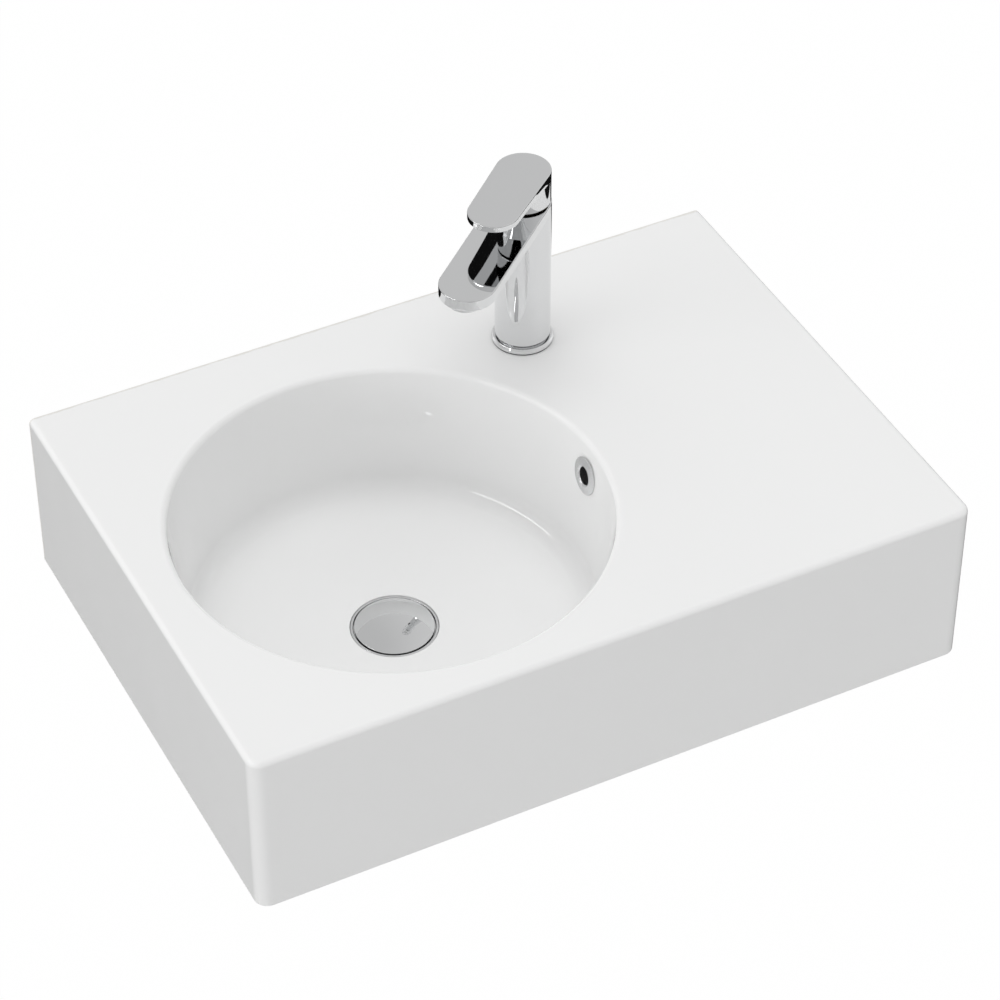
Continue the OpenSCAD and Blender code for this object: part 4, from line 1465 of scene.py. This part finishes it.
@dataclass
class Overflow:
    """The trim ring in the bowl's wall."""

    wall_r: float = 167.49
    outer_r: float = 15.5
    open_r: float = 7.3
    face_t: float = 2.0
    edge_t: float = 0.7
    lip_w: float = 1.6
    lip_h: float = 1.2
    barrel_t: float = 2.0
    barrel_l: float = 14.0
    set_out: float = 0.82

    def build(self) -> None:
        """Builds the ring with its coned face and dresses it."""
        face = self.set_out + self.face_t
        place = at(BOWL_X + self.wall_r, BOWL_Y, RIM_Z - OVERFLOW_DROP, 0.0, BOWL_DRAFT - 90)
        ring = lathed("overflow_trim", [
            (self.open_r + 3, self.set_out, 0), (self.outer_r, self.set_out, 0.1),
            (self.outer_r, self.set_out + self.edge_t, 0.4), (self.open_r + self.lip_w, face, 0.8),
            (self.open_r, face - self.lip_h, 0.5), (self.open_r, -self.barrel_l, 0.3),
            (self.open_r + self.barrel_t, -self.barrel_l, 0.3),
            (self.open_r + self.barrel_t, self.set_out, 0.1),
        ], place, steps=6)
        dress(ring, SATIN, Body.BASIN, "overflow_ring")
        finish_node(DARK_PLASTIC, "overflow_sleeve")


# The studio


@dataclass
class Studio:
    """Camera, floor, world and lamps."""

    azimuth: float = -27.026
    elevation: float = 41.608
    distance: float = 2760.828
    shift_right: float = -3.722
    shift_up: float = -17.069
    aim: tuple[float, float, float] = (0.0, -230.0, 85.0)
    lens: float = 129.648
    sensor: float = 36.0
    floor_z: float = -0.85
    floor_half: float = 30.0
    floor_tone: float = 0.8
    floor_glow: float = 0.99
    card_z: float = -0.12
    card_half: float = 28.0
    card_near: float = 1.0
    card_far: float = 3.6
    card_dark: float = 0.004
    card_pale: float = 0.62
    ambient: float = 0.65
    sky: float = 0.615
    soft_angle: float = 50.0
    window_at: float = 2.5
    window_aim: tuple[float, float, float] = (-0.05, -0.2, 0.05)

    def towards(self, azimuth: float, elevation: float) -> Vector:
        """Direction at an azimuth, counted from the front to the right, and an elevation."""
        turn, rise = math.radians(azimuth), math.radians(elevation)
        return Vector((math.sin(turn) * math.cos(rise), -math.cos(turn) * math.cos(rise),
                       math.sin(rise)))

    def camera(self) -> None:
        """Places the camera at the photograph's viewing point."""
        turn = math.radians(self.azimuth)
        right = Vector((math.cos(turn), math.sin(turn), 0))
        back = self.towards(self.azimuth, self.elevation)
        up = back.cross(right)
        spot = Vector(self.aim) + self.shift_right * right + self.shift_up * up + self.distance * back
        data = bpy.data.cameras.new("camera")
        data.sensor_width, data.lens = self.sensor, self.lens
        data.clip_start, data.clip_end = 0.05, 200.0
        made = new_object("camera", data)
        turned = Matrix((right, up, back)).transposed().to_4x4()
        made.matrix_world = Matrix.Translation(spot * MM) @ turned
        bpy.context.scene.camera = made

    def sheet(self, name: str, half: float, height: float,
              material: bpy.types.Material) -> bpy.types.Object:
        """Lays a level square round the basin.

        Args:
            name: The square's name.
            half: Half its side.
            height: Its height.
            material: Its material.

        Returns:
            The square.
        """
        data = bpy.data.meshes.new(name)
        corners = [(x * half, y * half, height) for x, y in ((-1, -1), (1, -1), (1, 1), (-1, 1))]
        data.from_pydata(corners, [], [(0, 1, 2, 3)])
        data.materials.append(material)
        return new_object(name, data)

    def floor(self) -> None:
        """Lays a pale floor that shows white to the camera and still takes a soft shadow."""
        material, graph = new_material("pale_floor")
        camera, glossy, clear = graph.rays()
        shown = (camera + glossy + clear).least(1.0) * self.floor_glow
        matt = graph.shader("ShaderNodeBsdfDiffuse", Color=grey(self.floor_tone))
        white = graph.shader("ShaderNodeEmission", Color=grey(1.0))
        graph.surface(graph.mix(shown, matt, white))
        made = self.sheet("floor", self.floor_half, self.floor_z, material)

    def card(self) -> None:
        """Lays a dark card below the basin that only reflections show, as for polished metal."""
        material, graph = new_material("black_felt")
        x, y = graph.axes(graph.place())[:2]
        reach = (x * x + y * y) ** 0.5
        share = reach.step(self.card_near, self.card_far) + graph.noise(scale=300.0) * 0.01
        felt = graph.blend(share, grey(self.card_dark), grey(self.card_pale))
        graph.surface(graph.shader("ShaderNodeBsdfDiffuse", Color=felt))
        made = self.sheet("dark_card", self.card_half, self.card_z, material)
        made.visible_camera = made.visible_diffuse = made.visible_shadow = False
        made.visible_transmission = False

    def world(self) -> None:
        """Lights the room evenly, shows white to the camera and a grey ceiling to gloss."""
        world = bpy.data.worlds.new("room")
        world.use_nodes = True
        bpy.context.scene.world = world
        graph = Graph(world.node_tree)
        camera, glossy, clear = graph.rays()
        across, along, height = graph.axes(graph.node("ShaderNodeTexCoord").outputs["Generated"])
        lighter = across.step(-0.2, 0.8) * 0.7 + along.step(0.3, -0.6) * 0.3
        ceiling = graph.blend(lighter, grey(self.sky - 0.04), grey(self.sky + 0.12))
        sky = graph.blend(height.step(0.02, 0.3), grey(1.0), ceiling)
        kind = "ShaderNodeBackground"
        ambient = graph.shader(kind, Color=grey(1.0), Strength=self.ambient)
        lit = graph.mix(glossy, ambient, graph.shader(kind, Color=sky))
        white = graph.shader(kind, Color=grey(1.0))
        graph.surface(graph.mix((camera + clear).least(1.0), lit, white), "ShaderNodeOutputWorld")

    def soft(self, name: str, azimuth: float, elevation: float, strength: float) -> None:
        """Adds one very broad lamp, far away, which leaves no spot in the gloss.

        Args:
            name: The lamp's name.
            azimuth: Where it stands, from the front towards the right, in degrees.
            elevation: Its height above the horizon, in degrees.
            strength: Light on a surface that faces it.
        """
        data = bpy.data.lights.new(name, "SUN")
        data.energy, data.angle = strength, math.radians(self.soft_angle)
        made = new_object(name, data)
        made.rotation_euler = self.towards(azimuth, elevation).to_track_quat("Z", "Y").to_euler()
        made.visible_glossy = False

    def window(self, name: str, azimuth: float, elevation: float, wide: float, high: float,
               glow: float) -> None:
        """Hangs one soft oblong lamp that only gloss shows, as highlights on the rounded edges.

        Args:
            name: The lamp's name.
            azimuth: Where it stands, from the front towards the right, in degrees.
            elevation: Its height above the horizon, in degrees.
            wide: Its width in degrees, seen from the basin.
            high: Its height in degrees.
            glow: Its brightness, where one is white.
        """
        data = bpy.data.lights.new(name, "AREA")
        data.shape = "RECTANGLE"
        data.size, data.size_y = (2 * self.window_at * math.tan(math.radians(side / 2))
                                  for side in (wide, high))
        data.energy = glow * math.pi * data.size * data.size_y
        made = new_object(name, data)
        outward = self.towards(azimuth, elevation)
        made.location = Vector(self.window_aim) + self.window_at * outward
        made.rotation_euler = outward.to_track_quat("Z", "Y").to_euler()
        made.visible_diffuse = False

    def build(self) -> None:
        """Sets up the studio."""
        bpy.context.scene.view_settings.view_transform = "Standard"
        self.camera()
        self.floor()
        self.card()
        self.world()
        self.soft("overhead_light", azimuth=0, elevation=90, strength=0.73)
        self.soft("left_light", azimuth=-90, elevation=5, strength=0.98)
        self.soft("back_light", azimuth=-180, elevation=30, strength=0.2)
        self.window("left_window", azimuth=-98, elevation=35.5, wide=44, high=7, glow=5.5)


def main() -> None:
    """Builds every sub-assembly, then the studio."""
    logging.basicConfig(level=logging.INFO, format="%(name)s: %(message)s")
    for part in (Basin(), Overflow(), Waste(), Tap()):
        part.build()
        LOG.info("%s is built", type(part).__name__)
    Studio().build()


if __name__ == "__main__":
    main()
